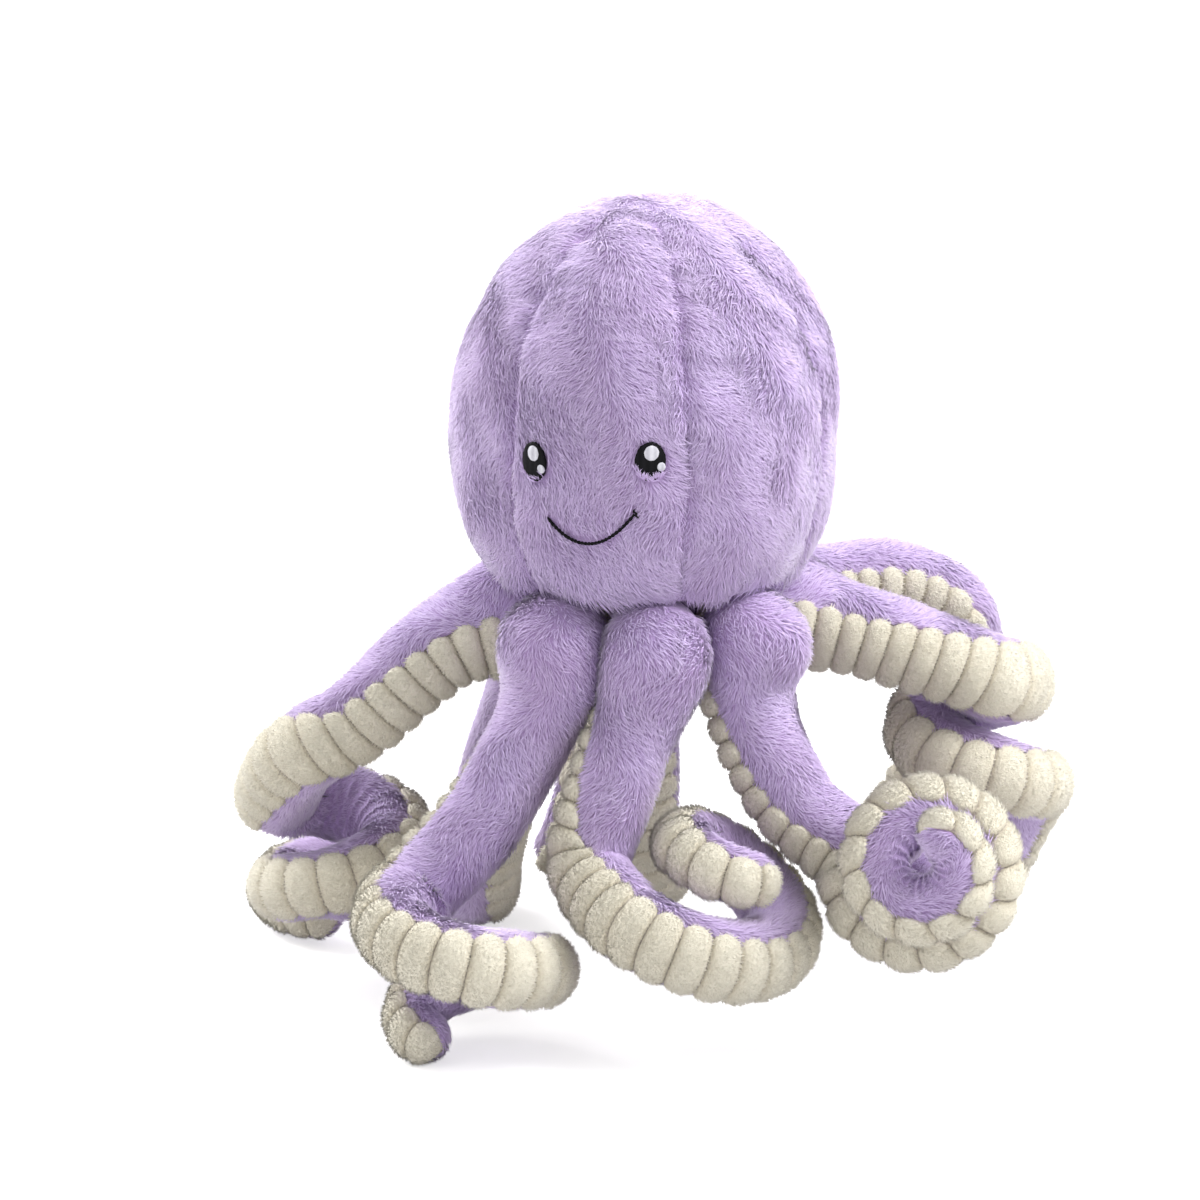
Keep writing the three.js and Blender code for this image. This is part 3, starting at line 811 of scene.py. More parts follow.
            out[1:-1] = (out[:-2] + 2.0 * out[1:-1] + out[2:]) / 4.0
        self.pressed = np.clip(out * self.press_share, -self.press_limit, self.press_limit)

    def normals(self, bearing: Array, latitude: Array) -> Array:
        """Which way the head's cloth faces at each place."""
        return skin_normals(self.skin, bearing, latitude, (0.4, 0.4), MIDDLE + np.array((0.0, 0.0, self.waist)))

    def eyes(self) -> dict[str, Oval]:
        """The two embroidered eyes."""
        left, right = self.eye_heights
        return {
            "left": Oval(-self.eye_bearing, left, *self.eye_size),
            "right": Oval(self.eye_bearing, right, *self.eye_size),
        }

    def smile_line(self, share: Numbers) -> Array:
        """The smile's height over the hinges, on its way across from -1 to 1."""
        return self.smile_height + self.smile_rise * share**2 + self.smile_tilt * share

    def keeps_clear(self, roots: Array, tips: Array) -> Array:
        """Which tufts stay off the embroidery.

        Args:
            roots: The tufts' roots on the flattened face: metres aside and over the hinges.
            tips: Their tips, in the same way.

        Returns:
            True for each tuft that stays.
        """
        stays = np.ones(len(roots), bool)
        for eye in self.eyes().values():
            middle = np.array((math.radians(eye.bearing) * self.radius, eye.height))
            half = np.array((eye.width, eye.tall)) / 2.0
            for places, grown in zip((roots, tips, (roots + tips) / 2.0), self.eye_clear):
                stays &= (((places - middle) / (half + grown)) ** 2).sum(axis=-1) > 1.0
        share = np.degrees(roots[:, 0] / self.radius) / self.smile_bearing
        above, (low, high) = roots[:, 1] - self.smile_line(share), self.smile_clear
        return stays & ~((np.abs(share) < 1.08) & (above > low) & (above < high))

    def gore(self, index: int) -> None:
        """One fur gore, from the rim over the arms up to the crown.

        Args:
            index: Which gore, from 0 at the face.
        """
        rows, columns, middle = self.gore_rows, self.gore_columns, index * self.gore_width
        latitude = np.linspace(self.low, self.top + 0.2, rows)[:, None] + np.zeros(columns)
        edge = self.gore_width / 2.0 - np.degrees(0.0001 / self.ring(latitude))
        share = np.sin(np.linspace(-math.pi / 2.0, math.pi / 2.0, columns))
        bearing = middle + np.maximum(edge, 1.0) * share
        shape = Shape()
        shell = closed_shell(self.skin(bearing, latitude, 0.0), self.skin(bearing, latitude, self.cloth))
        # The cloth takes the roots' dark colour: painted shade between the tufts.
        shape.add(**shell, height=0.2, lock=0.5)
        rng = np.random.default_rng(100 + index)
        for pile in (self.pile, self.guard):
            self.cover(shape, pile, middle, rng)
        if index == 0:
            self.fringe(shape, rng)
        self.room.dress(
            shape, f"fur_gore_{index + 1}", Slot.FUR, HEAD_BODY, f"head_gore_{index + 1}", fill=self.fill,
        )

    def cover(self, shape: Shape, pile: Pile, middle: float, rng: Random) -> None:
        """Grows one pile of fur on a gore.

        Args:
            shape: The gore's mesh.
            pile: The pile.
            middle: The gore's bearing, in degrees.
            rng: The source of chance.
        """
        bearings, latitudes, at = [], [], self.low
        while at < self.top:
            tilt = math.radians(at)
            count = max(1, round(math.radians(self.gore_width) * self.ring(at) / pile.spacing))
            spread = (np.arange(count) + rng.uniform(0.05, 0.95, count)) / count - 0.5
            bearings.append(middle + self.gore_width * 0.995 * spread)
            slope = math.hypot(self.rise(at) * math.cos(tilt), self.radius * math.sin(tilt))
            turn = math.degrees(pile.spacing / slope)
            latitudes.append(at + turn * rng.uniform(-0.45, 0.45, count))
            at += turn
        bearing = np.concatenate(bearings)
        latitude = np.clip(np.concatenate(latitudes), self.low, self.top + 0.2)
        roots = self.skin(bearing, latitude, 0.0)
        normals = self.normals(bearing, latitude)
        down = unit(self.skin(bearing, latitude - 0.5, 0.0) - roots)
        away = self.seam_distance(bearing, latitude)
        part = np.sign(away) * bell(away / self.parting) * rng.uniform(-0.9, 1.5, len(away))
        flow = 1.1 * self.swirl.at(roots) + 0.25
        toward = round_place(np.radians(bearing) + math.pi / 2.0, 1.0, 0.0)
        combed = down + np.cross(normals, down) * flow[:, None] + toward * part[:, None]
        combed = unit(across(combed, normals))
        stays = latitude < self.top + 0.1
        if middle == 0.0:
            flat = np.stack([np.radians(bearing) * self.ring(latitude), self.height_of(latitude)], axis=-1)
            ahead = np.stack([dot(combed, toward), combed[:, 2]], axis=-1)
            stays &= self.keeps_clear(flat, flat + ahead * pile.length * pile.tip_along)
        close = bell(away / self.seam_shadow) * (0.75 + 0.35 * self.pucker.at(roots))
        crown = smooth((latitude - self.crown_from) / 55.0)
        hem = smooth((self.low + self.hem_turn - latitude) / self.hem_turn)
        gap = bell(((bearing + ARM_TURN / 2.0) % ARM_TURN - ARM_TURN / 2.0) / self.gap_turn)
        chin = smooth((self.chin_from - latitude) / 45.0)
        shares = (1.0 - 0.3 * np.clip(close, 0.0, 1.0)) * (1.0 + (0.5 + 0.9 * gap) * hem)
        # Painted shadow along the seams and painted shade under the chin darken the tufts; painted light brightens the
        # crown.
        shade, lifts = 0.8 * close - 0.4 * crown + 0.18 * chin, 1.0 - 0.45 * crown - 0.3 * hem
        pile.grow(
            shape, roots[stays], normals[stays], combed[stays], rng, shares[stays], shade[stays], lifts[stays],
        )

    def fringe(self, shape: Shape, rng: Random) -> None:
        """Fur that strays over the eyes' lower edges.

        Args:
            shape: The front gore's mesh.
            rng: The source of chance.
        """
        for eye, count in zip(self.eyes().values(), self.eye_fringes):
            turn = np.radians(rng.uniform(200.0, 322.0, count))
            bearing = eye.bearing + np.degrees(np.cos(turn) * (eye.width / 2.0 + self.eye_clear[0]) / self.radius)
            latitude = self.latitude_of(eye.height + np.sin(turn) * (eye.tall / 2.0 + self.eye_clear[0]))
            roots = self.skin(bearing, latitude, 0.0)
            upward = unit(self.skin(bearing, latitude + 0.5, 0.0) - roots)
            normals = self.normals(bearing, latitude)
            aside = np.cross(normals, upward) * rng.normal(0.3, 0.5, (count, 1))
            self.pile.grow(shape, roots + normals * 0.0026, normals, upward + aside, rng, 0.8, lifts=1.3)

    def underside(self) -> None:
        """The body's closed underside, with the round groove in which the arms' roots turn."""
        stub = HINGE_RING - self.root_groove
        turns = np.radians(np.arange(180, 74, -7.5))
        profile = [(0.004, -0.0245), (stub * 0.6, self.under), (stub - 0.002, -0.024), (stub, -0.022)]
        profile += zip(HINGE_RING + self.root_groove * np.cos(turns), self.root_groove * np.sin(turns))
        profile += [(0.0705, self.rim_height), (0.071, 0.036), (0.06, 0.05), (0.02, 0.055), (0.002, 0.056)]
        radii, heights = np.array(profile).T[..., None]
        rings = MIDDLE + round_place(np.radians(np.arange(96) * 3.75), radii, heights)
        shape = Shape()
        # The underside takes an even darker root colour: painted shade under the head.
        shape.add(**closed_rings(rings, rings[0].mean(axis=0), rings[-1].mean(axis=0)), height=0.06, lock=0.5)
        rng = np.random.default_rng(150)
        count = int(math.pi * stub**2 / self.pile.spacing**2)
        out, bearing = stub * np.sqrt(rng.uniform(0.0, 1.0, count)), rng.uniform(0.0, 2.0 * math.pi, count)
        combed = round_place(bearing - math.pi / 2.0, 1.0, 0.0) + round_place(bearing, 0.4, 0.0)
        normals = np.tile((0.0, 0.0, -1.0), (count, 1))
        self.pile.grow(shape, MIDDLE + round_place(bearing, out, self.under), normals, combed, rng, 0.75)
        self.room.dress(
            shape, "fur_underside", Slot.FUR, HEAD_BODY, "head_stuffing", "base_disc", fill=self.fill,
        )

    def patch(self, name: str, oval: Oval, slot: Slot, rise: float, dome: float) -> None:
        """One raised patch of satin stitches.

        Args:
            name: The solid that it replaces.
            oval: Its place and size.
            slot: Its thread.
            rise: How far its edge stands over the cloth.
            dome: How much higher its middle is.
        """
        share = np.linspace(0.03, 1.0, self.stitch_rings)[:, None]
        turn = np.arange(self.stitch_turns) * 2.0 * math.pi / self.stitch_turns
        waver = 1.0 + 0.012 * np.sin(turn * 9.0 + oval.bearing) + 0.01 * np.sin(turn * 23.0)
        aside = share * np.cos(turn) * oval.width / 2.0 * waver
        over = share * np.sin(turn) * oval.tall / 2.0 * waver
        cords = np.abs(np.sin(aside * math.pi / self.stitch)) * self.cord_rise * (1.0 - share**6)
        lift = rise + dome * np.sqrt(np.maximum(0.0, 1.0 - share**3.0)) + cords
        bearing = oval.bearing + np.degrees(aside / self.ring(self.latitude_of(oval.height)))
        latitude = self.latitude_of(oval.height + over)
        cloth, (_, ways) = self.skin(bearing, latitude, 0.0), self.egg(bearing, latitude)
        front, back = cloth + ways * lift[..., None], cloth + ways * (rise - self.stitch_depth)
        rings = np.concatenate([front, back[-1:]])
        shape = Shape()
        body = closed_rings(rings, front[0].mean(axis=0), back[0].mean(axis=0), turned=True)
        shape.add(**body, height=1.0, lock=0.5)
        self.room.dress(shape, f"satin_{name}", slot, HEAD_BODY, name)

    def face(self) -> None:
        """Embroiders the eyes with their glints, and the smile."""
        glint_rise = self.stitch_rise + self.glint_rise
        for side, eye in self.eyes().items():
            self.patch(f"eye_{side}", eye, Slot.BLACK, self.stitch_rise, self.eye_dome)
            for label, size, aside, over in self.glints:
                shift = math.degrees(aside * eye.width / 2.0 / self.radius)
                glint = Oval(eye.bearing + shift, eye.height + over * eye.tall / 2.0, size, size * 1.05)
                self.patch(f"eye_{side}_{label}_glint", glint, Slot.WHITE, glint_rise, self.glint_dome)
        self.smile()

    def smile(self) -> None:
        """The smile: two twisted plies of black thread laid on the front gore, with a short stitch over one end."""
        shape = Shape()
        share, tick = np.linspace(-1.0, 1.0, 150), np.linspace(0.0, 1.0, 24)
        for phase in (0.0, math.pi):
            self.ply(shape, share, self.smile_line(share), phase)
        self.ply(shape, 0.97 + 0.1 * tick, self.smile_line(1.0) + 0.0022 - 0.0045 * tick, 0.0)
        self.room.dress(shape, "smile_stitches", Slot.BLACK, HEAD_BODY, "smile_thread")

    def ply(self, shape: Shape, share: Array, height: Array, phase: float) -> None:
        """One round ply of a thread on the face.

        Args:
            shape: The mesh that gets it.
            share: Its way across the smile, from -1 to 1.
            height: Its height over the hinges.
            phase: Where its twist begins.
        """
        bearing, latitude = share * self.smile_bearing, self.latitude_of(height)
        _, ways = self.egg(bearing, latitude)
        line = self.skin(bearing, latitude, 0.0) + ways * self.stitch_rise
        side = np.cross(ways, unit(np.gradient(line, axis=0)))
        twist = (phase + np.arange(len(line)) * 0.55)[:, None]
        line = line + (ways * np.sin(twist) + side * np.cos(twist)) * self.thread * 0.55
        rows, sides = len(line), self.thread_sides
        turn = (np.arange(sides) * 2.0 * math.pi / sides)[:, None]
        taper = np.sqrt(np.clip(1.0 - np.abs(np.linspace(-1.0, 1.0, rows)) ** 30, 0.03, 1.0))
        off = side[:, None] * np.cos(turn) + ways[:, None] * np.sin(turn)
        rings = line[:, None] + self.thread * taper[:, None, None] * off
        fan = np.array([(0, i, i + 1) for i in range(1, sides - 1)])
        caps = np.concatenate([fan[:, ::-1], fan + (rows - 1) * sides])
        # Each face starts at its second corner, which sets the diagonal that splits it.
        quads = np.roll(grid_faces(rows, sides, closed=True), -1, axis=1)
        shape.add(rings, triangles=caps, quads=quads, height=1.0, lock=0.5)

    def build(self) -> None:
        """Makes the whole head."""
        self.press_out()
        for index in range(self.gore_count):
            self.gore(index)
        self.underside()
        self.face()


@dataclass(frozen=True)
class Curl:
    """A spiral that drifts as it turns. Its radii and drift in a turn are shares of the arm's length."""

    centre: Place
    axis: Place
    start: float
    hand: int
    turn: float
    radii: tuple[float, ...]
    drift: Place


@dataclass(frozen=True)
class ArmPlan:
    """How one arm lies: its bearing from the face, the way of its back at the root, its stalk, its curl and its tail.

    A place is a swing from the bearing in degrees, a reach as a share of the arm's length and a height as a
    share of the hinges'. The back stays as at the curl up to the straight share of the stalk.
    """

    name: str
    bearing: float
    back: Place
    straight: float
    stands: bool
    stalk: tuple[Place, ...]
    curl: Curl
    tail: tuple[Place, ...] = ()


ARM_PLANS = (
    ArmPlan(
        "arm_front_left", -22.5, (0.8, 0, 0.6), 0, True, ((-3, 0.174, 0.852), (-10, 0.24, 0.605)),
        Curl((0, 0.323, 0.408), (0, 0, 1), -90, 1, 520, (0.09, 0.062), (0, 0, -0.118)),
    ),
    ArmPlan(
        "arm_front_right", 22.5, (0.8, 0, 0.6), 0, False,
        ((-8, 0.167, 0.847), (-19, 0.2, 0.622), (-22, 0.225, 0.48)),
        Curl((6, 0.23, 0.33), (0.23, 0.44, 0.866), -62, 1, 560, (0.1, 0.096, 0.048, 0.038), (0.01, 0.06, 0.068)),
    ),
    ArmPlan(
        "arm_side_right_front", 67.5, (0.8, 0, 0.6), 0, False, ((-2, 0.162, 0.842), (-1.5, 0.232, 0.605)),
        Curl((8.5, 0.38, 0.464), (0.614, -0.746, 0.259), 190, 1, 680, (0.075, 0.04), (0.065, -0.079, 0.027)),
    ),
    ArmPlan(
        "arm_side_right_back", 112.5, (0, 0.85, 0.55), 0.35, True, ((-2, 0.243, 0.964), (-3, 0.362, 0.89)),
        Curl((5, 0.377, 0.846), (0, 0, 1), -50, 1, 430, (0.058, 0.056), (0.034, 0, -0.112)),
        ((13, 0.45, 0.4), (17, 0.425, 0.24), (19, 0.38, 0.12), (18, 0.31, 0.075), (17, 0.25, 0.075)),
    ),
    ArmPlan(
        "arm_back_right", 157.5, (0.65, 0.55, 0.5), 0.3, True,
        ((-7, 0.278, 0.973), (-13, 0.382, 0.955), (-16, 0.45, 0.87), (-13.5, 0.466, 0.63), (-10, 0.446, 0.38)),
        Curl((-2, 0.465, 0.2), (0, 0, 1), -180, -1, 360, (0.064, 0.058), (0, 0, -0.084)),
    ),
    ArmPlan(
        "arm_back_left", -157.5, (0.6, 0, 0.8), 0, True,
        ((-2.5, 0.21, 0.9), (-3, 0.243, 0.6), (-4, 0.265, 0.35), (-5, 0.31, 0.17)),
        Curl((-7, 0.415, 0.27), (0, -1, 0), -100, 1, 380, (0.078, 0.062), (0.01, 0.125, 0)),
    ),
    ArmPlan(
        "arm_side_left_back", -112.5, (0.8, 0, 0.6), 0, True,
        ((-2.5, 0.185, 0.735), (-7.5, 0.244, 0.518), (-9.7, 0.299, 0.28), (-14, 0.34, 0.138)),
        Curl((-4.4, 0.446, 0.1), (0, 0, 1), -140, 1, 400, (0.119, 0.112), (0, 0, -0.012)),
    ),
    ArmPlan(
        "arm_side_left_front", -67.5, (0, -0.72, 0.7), 0.35, False,
        ((0, 0.233, 0.949), (-2, 0.35, 0.733), (-4.5, 0.405, 0.648)),
        Curl((-13.6, 0.37, 0.49), (0, 0, 1), -15, -1, 600, (0.071, 0.062), (0, 0, -0.112)),
    ),
)


def through(knots: Array, share: Array) -> Array:
    """A smooth curve through knots, whose bends ease with the knots' spacing.

    Args:
        knots: The points that it passes.
        share: Where to read it, from 0 to 1.

    Returns:
        The curve's points.
    """
    held = np.vstack([2.0 * knots[0] - knots[1], knots, 2.0 * knots[-1] - knots[-2]])
    at = np.clip(share, 0.0, 1.0) * (len(knots) - 1)
    low = np.minimum(at.astype(int), len(knots) - 2)
    way = (at - low)[:, None]
    p0, p1, p2, p3 = (held[low + i] for i in range(4))
    d0, d1, d2 = (np.sqrt(np.linalg.norm(b - a, axis=1, keepdims=True)) for a, b in ((p0, p1), (p1, p2), (p2, p3)))
    leave = ((p1 - p0) / d0 - (p2 - p0) / (d0 + d1) + (p2 - p1) / d1) * d1
    arrive = ((p2 - p1) / d1 - (p3 - p1) / (d1 + d2) + (p3 - p2) / d2) * d1
    bend = -3.0 * p1 + 3.0 * p2 - 2.0 * leave - arrive
    end = 2.0 * p1 - 2.0 * p2 + leave + arrive
    return p1 + leave * way + bend * way**2 + end * way**3


@dataclass
class Arm:
    """One stuffed arm: fur over its back and a ribbed strip along its underside."""

    room: Workroom
    plan: ArmPlan
    seed: int
    length: float = 0.420
    half_width: float = 0.0228
    root_half: float = 0.026
    root_swell: float = 0.11
    seam_turn: float = 112.5
    rib_edge: float = 70.5
    cloth: float = 0.003
    rib_cloth: float = 0.008
    skin_depth: float = 0.0022
    rib_count: int = 33
    first_rib: float = 0.010
    rib_low: float = 0.0028
    rib_high: float = 0.0014
    rib_edge_dip: float = 0.0022
    rib_full_half: float = 0.014
    seam_dip: float = 0.0012
    seam_width: float = 0.004
    coil_step: float = 22.5
    width_stops: tuple[float, ...] = (0.0, 0.1, 0.3, 0.55, 0.8, 1.0)
    width_shares: tuple[float, ...] = (1.0, 0.95, 0.94, 0.89, 0.76, 0.62)
    rib_stops: tuple[float, ...] = (-1.0, -0.93, -0.78, -0.5, -0.17, 0.17, 0.5, 0.78, 0.93)
    root_wrap: float = 0.2
    root_wrap_reach: float = 0.035
    puff: float = 0.0088
    puff_at: float = 0.005
    puff_reach: float = 0.027
    tight_puff: float = 0.0034
    swell_rise: float = 0.0007
    ring_step: float = 0.003
    fur_columns: int = 27
    rib_columns: int = 31
    lean_from: float = 70.0
    lean_over: float = 42.0
    loose_reach: float = 0.05
    tip_fade: float = 0.03
    under_floor: float = 0.0005
    fill: float = 0.8
    rib_fill: float = 0.7
    pile: Pile = Pile(0.00102, 0.0062, 0.00086, 0.38, 0.0044)
    guard: Pile = Pile(0.0026, 0.0078, 0.00062, 0.27, 0.0085, 0.5, 0.3, bent=True)
    nap: Pile = Pile(0.00096, 0.0026, 0.00066, 0.6, 0.0026, 0.3, 0.5, soft=0.9)
    swirl: Drift = Drift(0.045, 21)
    swell: Drift = Drift(0.07, 22)
    stretch: float = 1.0
    table: dict[str, Array] = field(default_factory=dict)

    @property
    def pitch(self) -> float:
        """From one rib to the next."""
        return (self.length - self.first_rib) / self.rib_count

    @property
    def tip(self) -> float:
        """How long the rounded tip is."""
        return self.half_width * self.width_shares[-1]

    def local(self, place: Place) -> Array:
        """A place of the plan, from the hinge: outward, sideways and up."""
        swing, reach = math.radians(place[0]), place[1] * self.length
        height = (place[2] - 1.0) * HINGE_HEIGHT
        return np.array((reach * math.cos(swing) - HINGE_RING, reach * math.sin(swing), height))

    def curl_knots(self) -> tuple[Array, Array]:
        """The knots of the curl.

        Returns:
            The curl's points, and the way to its axis at each.
        """
        curl = self.plan.curl
        axis = unit(np.array(curl.axis, float))
        first = unit(across(np.array((1.0, 0.0, 0.0)), axis))
        share = np.linspace(0.0, 1.0, round(curl.turn / self.coil_step) + 1)[:, None]
        turned = np.radians(curl.start + curl.hand * curl.turn * share)
        radius = from_table(np.linspace(0.0, 1.0, len(curl.radii)), curl.radii, share) * self.length
        out = first * np.cos(turned) + np.cross(axis, first) * np.sin(turned)
        drift = np.array(curl.drift) * self.length * curl.turn / 360.0
        return self.local(curl.centre) + drift * share + out * radius, -out

    def backs(self, knots: Array, curl_backs: Array, first: int) -> Array:
        """The way of the arm's back at each knot, carried from the curl and twisted to the root's.

        Args:
            knots: The knots of the middle line.
            curl_backs: The way of the back in the curl.
            first: The curl's first knot.

        Returns:
            A vector one long for each knot.
        """
        tangents = unit(np.vstack([knots[1:], knots[-1:]]) - np.vstack([knots[:1], knots[:-1]]))
        found = np.zeros_like(knots)
        found[first:first + len(curl_backs)] = curl_backs
        for i in range(first - 1, -1, -1):
            found[i] = unit(across(found[i + 1], tangents[i]))
        for i in range(first, len(knots)):
            given = found[i] if i < first + len(curl_backs) else found[i - 1]
            found[i] = unit(across(given, tangents[i]))
        wanted = unit(across(np.array(self.plan.back, float), tangents[0]))
        twist = math.atan2(wanted @ np.cross(tangents[0], found[0]), wanted @ found[0])
        for i in range(first):
            share = (i / first - self.plan.straight) / (1.0 - self.plan.straight)
            turn = twist * (1.0 - float(smooth(share)))
            found[i] = found[i] * math.cos(turn) + np.cross(tangents[i], found[i]) * math.sin(turn)
        return found

    def lay(self) -> None:
        """Works out the arm's middle line and frames, at every millimetre."""
        curl, curl_backs = self.curl_knots()
        stalk = [np.zeros(3)] + [self.local(place) for place in self.plan.stalk]
        knots = np.vstack([*stalk, curl, *(self.local(place) for place in self.plan.tail)])
        knots[:, 2] *= self.stretch
        backs = self.backs(knots, curl_backs, len(stalk))
        share = np.linspace(0.0, 1.0, 6000)
        steps = np.linalg.norm(np.diff(through(knots, share), axis=0), axis=1)
        run = np.concatenate(([0.0], np.cumsum(steps)))
        along = np.linspace(0.0, run[-1], int(run[-1] / MILLIMETRE))
        at = np.interp(along, run, share)
        place = through(knots, at)
        ahead = unit(np.gradient(place, axis=0))
        back = unit(across(through(backs, at), ahead))
        bend = dot(np.gradient(ahead, MILLIMETRE, axis=0), back)
        self.table = {"along": along, "place": place, "ahead": ahead, "back": back, "bend": bend}

    def halves(self, along: Array) -> tuple[Array, Array]:
        """Half the arm's width, and the root's stretch square to the hinge's axis.

        Args:
            along: Lengths from the hinge.

        Returns:
            Half widths and stretches.
        """
        beyond = np.clip((along - (self.length - self.tip)) / self.tip, 0.0, 1.0)
        behind = np.clip(-along / self.root_half, 0.0, 1.0)
        rounding = np.sqrt(1.0 - beyond**2) * np.sqrt(1.0 - behind**2)
        body = self.half_width * from_table(self.width_stops, self.width_shares, along / self.length)
        root = 1.0 - smooth(along / (self.root_swell * self.length))
        return body * np.maximum(rounding, 0.08), 1.0 + (self.root_half / self.half_width - 1.0) * root

    def section(self, along: Array, turn: Array, depth: Numbers) -> Array:
        """Places on the arm, in the scene's frame.

        Args:
            along: Lengths from the hinge.
            turn: Degrees round the section from the back.
            depth: How far under the arm's outer size.

        Returns:
            The places.
        """
        held = np.clip(along, 0.0, self.table["along"][-1])
        place, ahead, back = (
            np.stack([np.interp(held, self.table["along"], line) for line in self.table[name].T], axis=-1)
            for name in ("place", "ahead", "back")
        )
        ahead, back = unit(ahead), unit(back)
        half, stretch = self.halves(along)
        angle = np.radians(turn)[..., None]
        reach = np.maximum(half - depth, half * 0.12)[..., None]
        off = (back * np.cos(angle) + np.cross(back, ahead) * np.sin(angle)) * reach
        off = off * np.stack([stretch, np.ones_like(stretch), stretch], axis=-1)
        x, y, z = np.moveaxis(place + ahead * np.minimum(along, 0.0)[..., None] + off, -1, 0)
        bearing = math.radians(self.plan.bearing)
        return MIDDLE + round_place(bearing, x + HINGE_RING, z) + round_place(bearing + math.pi / 2.0, y, 0.0)

    def fur_skin(self, along: Array, turn: Array, depth: float) -> Array:
        """Places on the cloth of the arm's back, which reaches further round at the root.

        Args:
            along: Lengths from the hinge.
            turn: Degrees round the section from the back.
            depth: How far under the cloth.

        Returns:
            The places.
        """
        turn = turn * (1.0 + self.root_wrap * (1.0 - smooth(along / self.root_wrap_reach)))
        facing = np.cos(np.radians(turn))
        half, _ = self.halves(along)
        dip = self.seam_dip * bell((np.abs(turn) - self.seam_turn) / np.degrees(self.seam_width / half))
        puff = self.puff * bell((along - self.puff_at) / self.puff_reach) * smooth((facing + 0.75) / 1.4)
        bend = np.interp(along, self.table["along"], self.table["bend"])
        pressed = self.tight_puff * smooth((bend * half - 0.6) / 0.3) * smooth(facing)
        raised = puff + pressed + self.swell_rise * self.swell.at(self.section(along, turn, 0.0))
        curl_axis = 0.88 / np.maximum(bend * facing, 1.0)
        return self.section(along, turn, np.maximum(self.skin_depth + dip - raised, half - curl_axis) + depth)

    def rib_height(self, along: Array, aside: Array) -> Array:
        """How high a rib stands, from 0 in the valley to 1 on its crest.

        Args:
            along: Lengths from the hinge.
            aside: The way from the strip's middle to its edges, -1 to 1.

        Returns:
            Heights from 0 to 1.
        """
        at = (along - self.first_rib) / self.pitch
        number = np.floor(at)
        way = 2.0 * (at - number) - 1.0
        width = np.sqrt(np.clip(1.0 - np.abs(aside) ** 14, 0.0, 1.0)) * 0.97 + 0.03
        roll = np.sqrt(np.clip(1.0 - np.abs(way / width) ** 2.5, 0.0, 1.0))
        uneven = 0.9 + 0.1 * np.sin(number * 12.9898 + self.seed) + 0.05 * np.sin(aside * 3.0 + number * 4.1)
        return np.where(along < self.first_rib, 0.6 * width, roll * uneven * np.minimum(1.0, 0.55 + width))

    def rib_skin(self, along: Array, turn: Array, depth: float) -> Array:
        """Places on the cloth of the ribbed strip.

        Args:
            along: Lengths from the hinge.
            turn: Degrees round the section from the underside's middle.
            depth: How far under the cloth.

        Returns:
            The places.
        """
        aside = np.clip(turn / self.rib_edge, -1.0, 1.0)
        half, _ = self.halves(along)
        rise = self.rib_height(along, aside) * np.minimum(1.0, half / self.rib_full_half)
        low = self.rib_low + self.rib_edge_dip * np.abs(aside) ** 8
        return self.section(along, 180.0 + turn, low + depth - (self.rib_low + self.rib_high) * rise)

    def stations(self, step: float) -> Array:
        """Lengths along the arm where the skin's rings stand, a step apart and closer at both rounded ends."""
        root = -self.root_half * np.cos(np.linspace(0.04, math.pi / 2.0, 9))[:-1]
        end = self.length - self.tip
        body = np.linspace(0.0, end, int(end / step))
        return np.concatenate([root, body, end + self.tip * np.sin(np.linspace(0.0, math.pi / 2.0, 10))[1:]])

    def stand(self) -> None:
        """Lays the arm, and if it stands stretches its fall until it reaches just under the floor."""
        self.lay()
        along, turn = np.meshgrid(self.stations(0.004), np.linspace(-180.0, 180.0, 48))
        for _ in range(6 if self.plan.stands else 0):
            low = self.section(along, turn, 0.0)[..., 2].min() - HINGE_HEIGHT
            self.stretch *= -(HINGE_HEIGHT + self.under_floor) / low
            self.lay()

    def normals(self, skin: SkinCall, along: Array, turn: Array) -> Array:
        """Which way a skin of the arm faces at each place."""
        return skin_normals(skin, along, turn, (0.0008, 2.0), self.section(along, turn, self.half_width))

    def scattered(self, pile: Pile, half_turn: float, rng: Random) -> tuple[Array, Array]:
        """Evenly scattered roots for a pile.

        Args:
            pile: The pile, which gives their spacing.
            half_turn: How far round they go to each side, in degrees.
            rng: The source of chance.

        Returns:
            Lengths along the arm and turns round it.
        """
        rows = np.arange(-self.root_half * 0.8, self.length - 0.0004, pile.spacing)
        half, _ = self.halves(rows)
        counts = np.maximum(1, np.round(np.radians(2.0 * half_turn) * half / pile.spacing)).astype(int)
        along = np.repeat(rows, counts)
        number = np.arange(len(along)) - np.repeat(np.cumsum(counts) - counts, counts)
        spread = (number + rng.uniform(0.02, 0.98, len(along))) / np.repeat(counts, counts) - 0.5
        along = along + pile.spacing * rng.uniform(-0.45, 0.45, len(along))
        return np.minimum(along, self.length - 0.0003), 2.0 * half_turn * spread

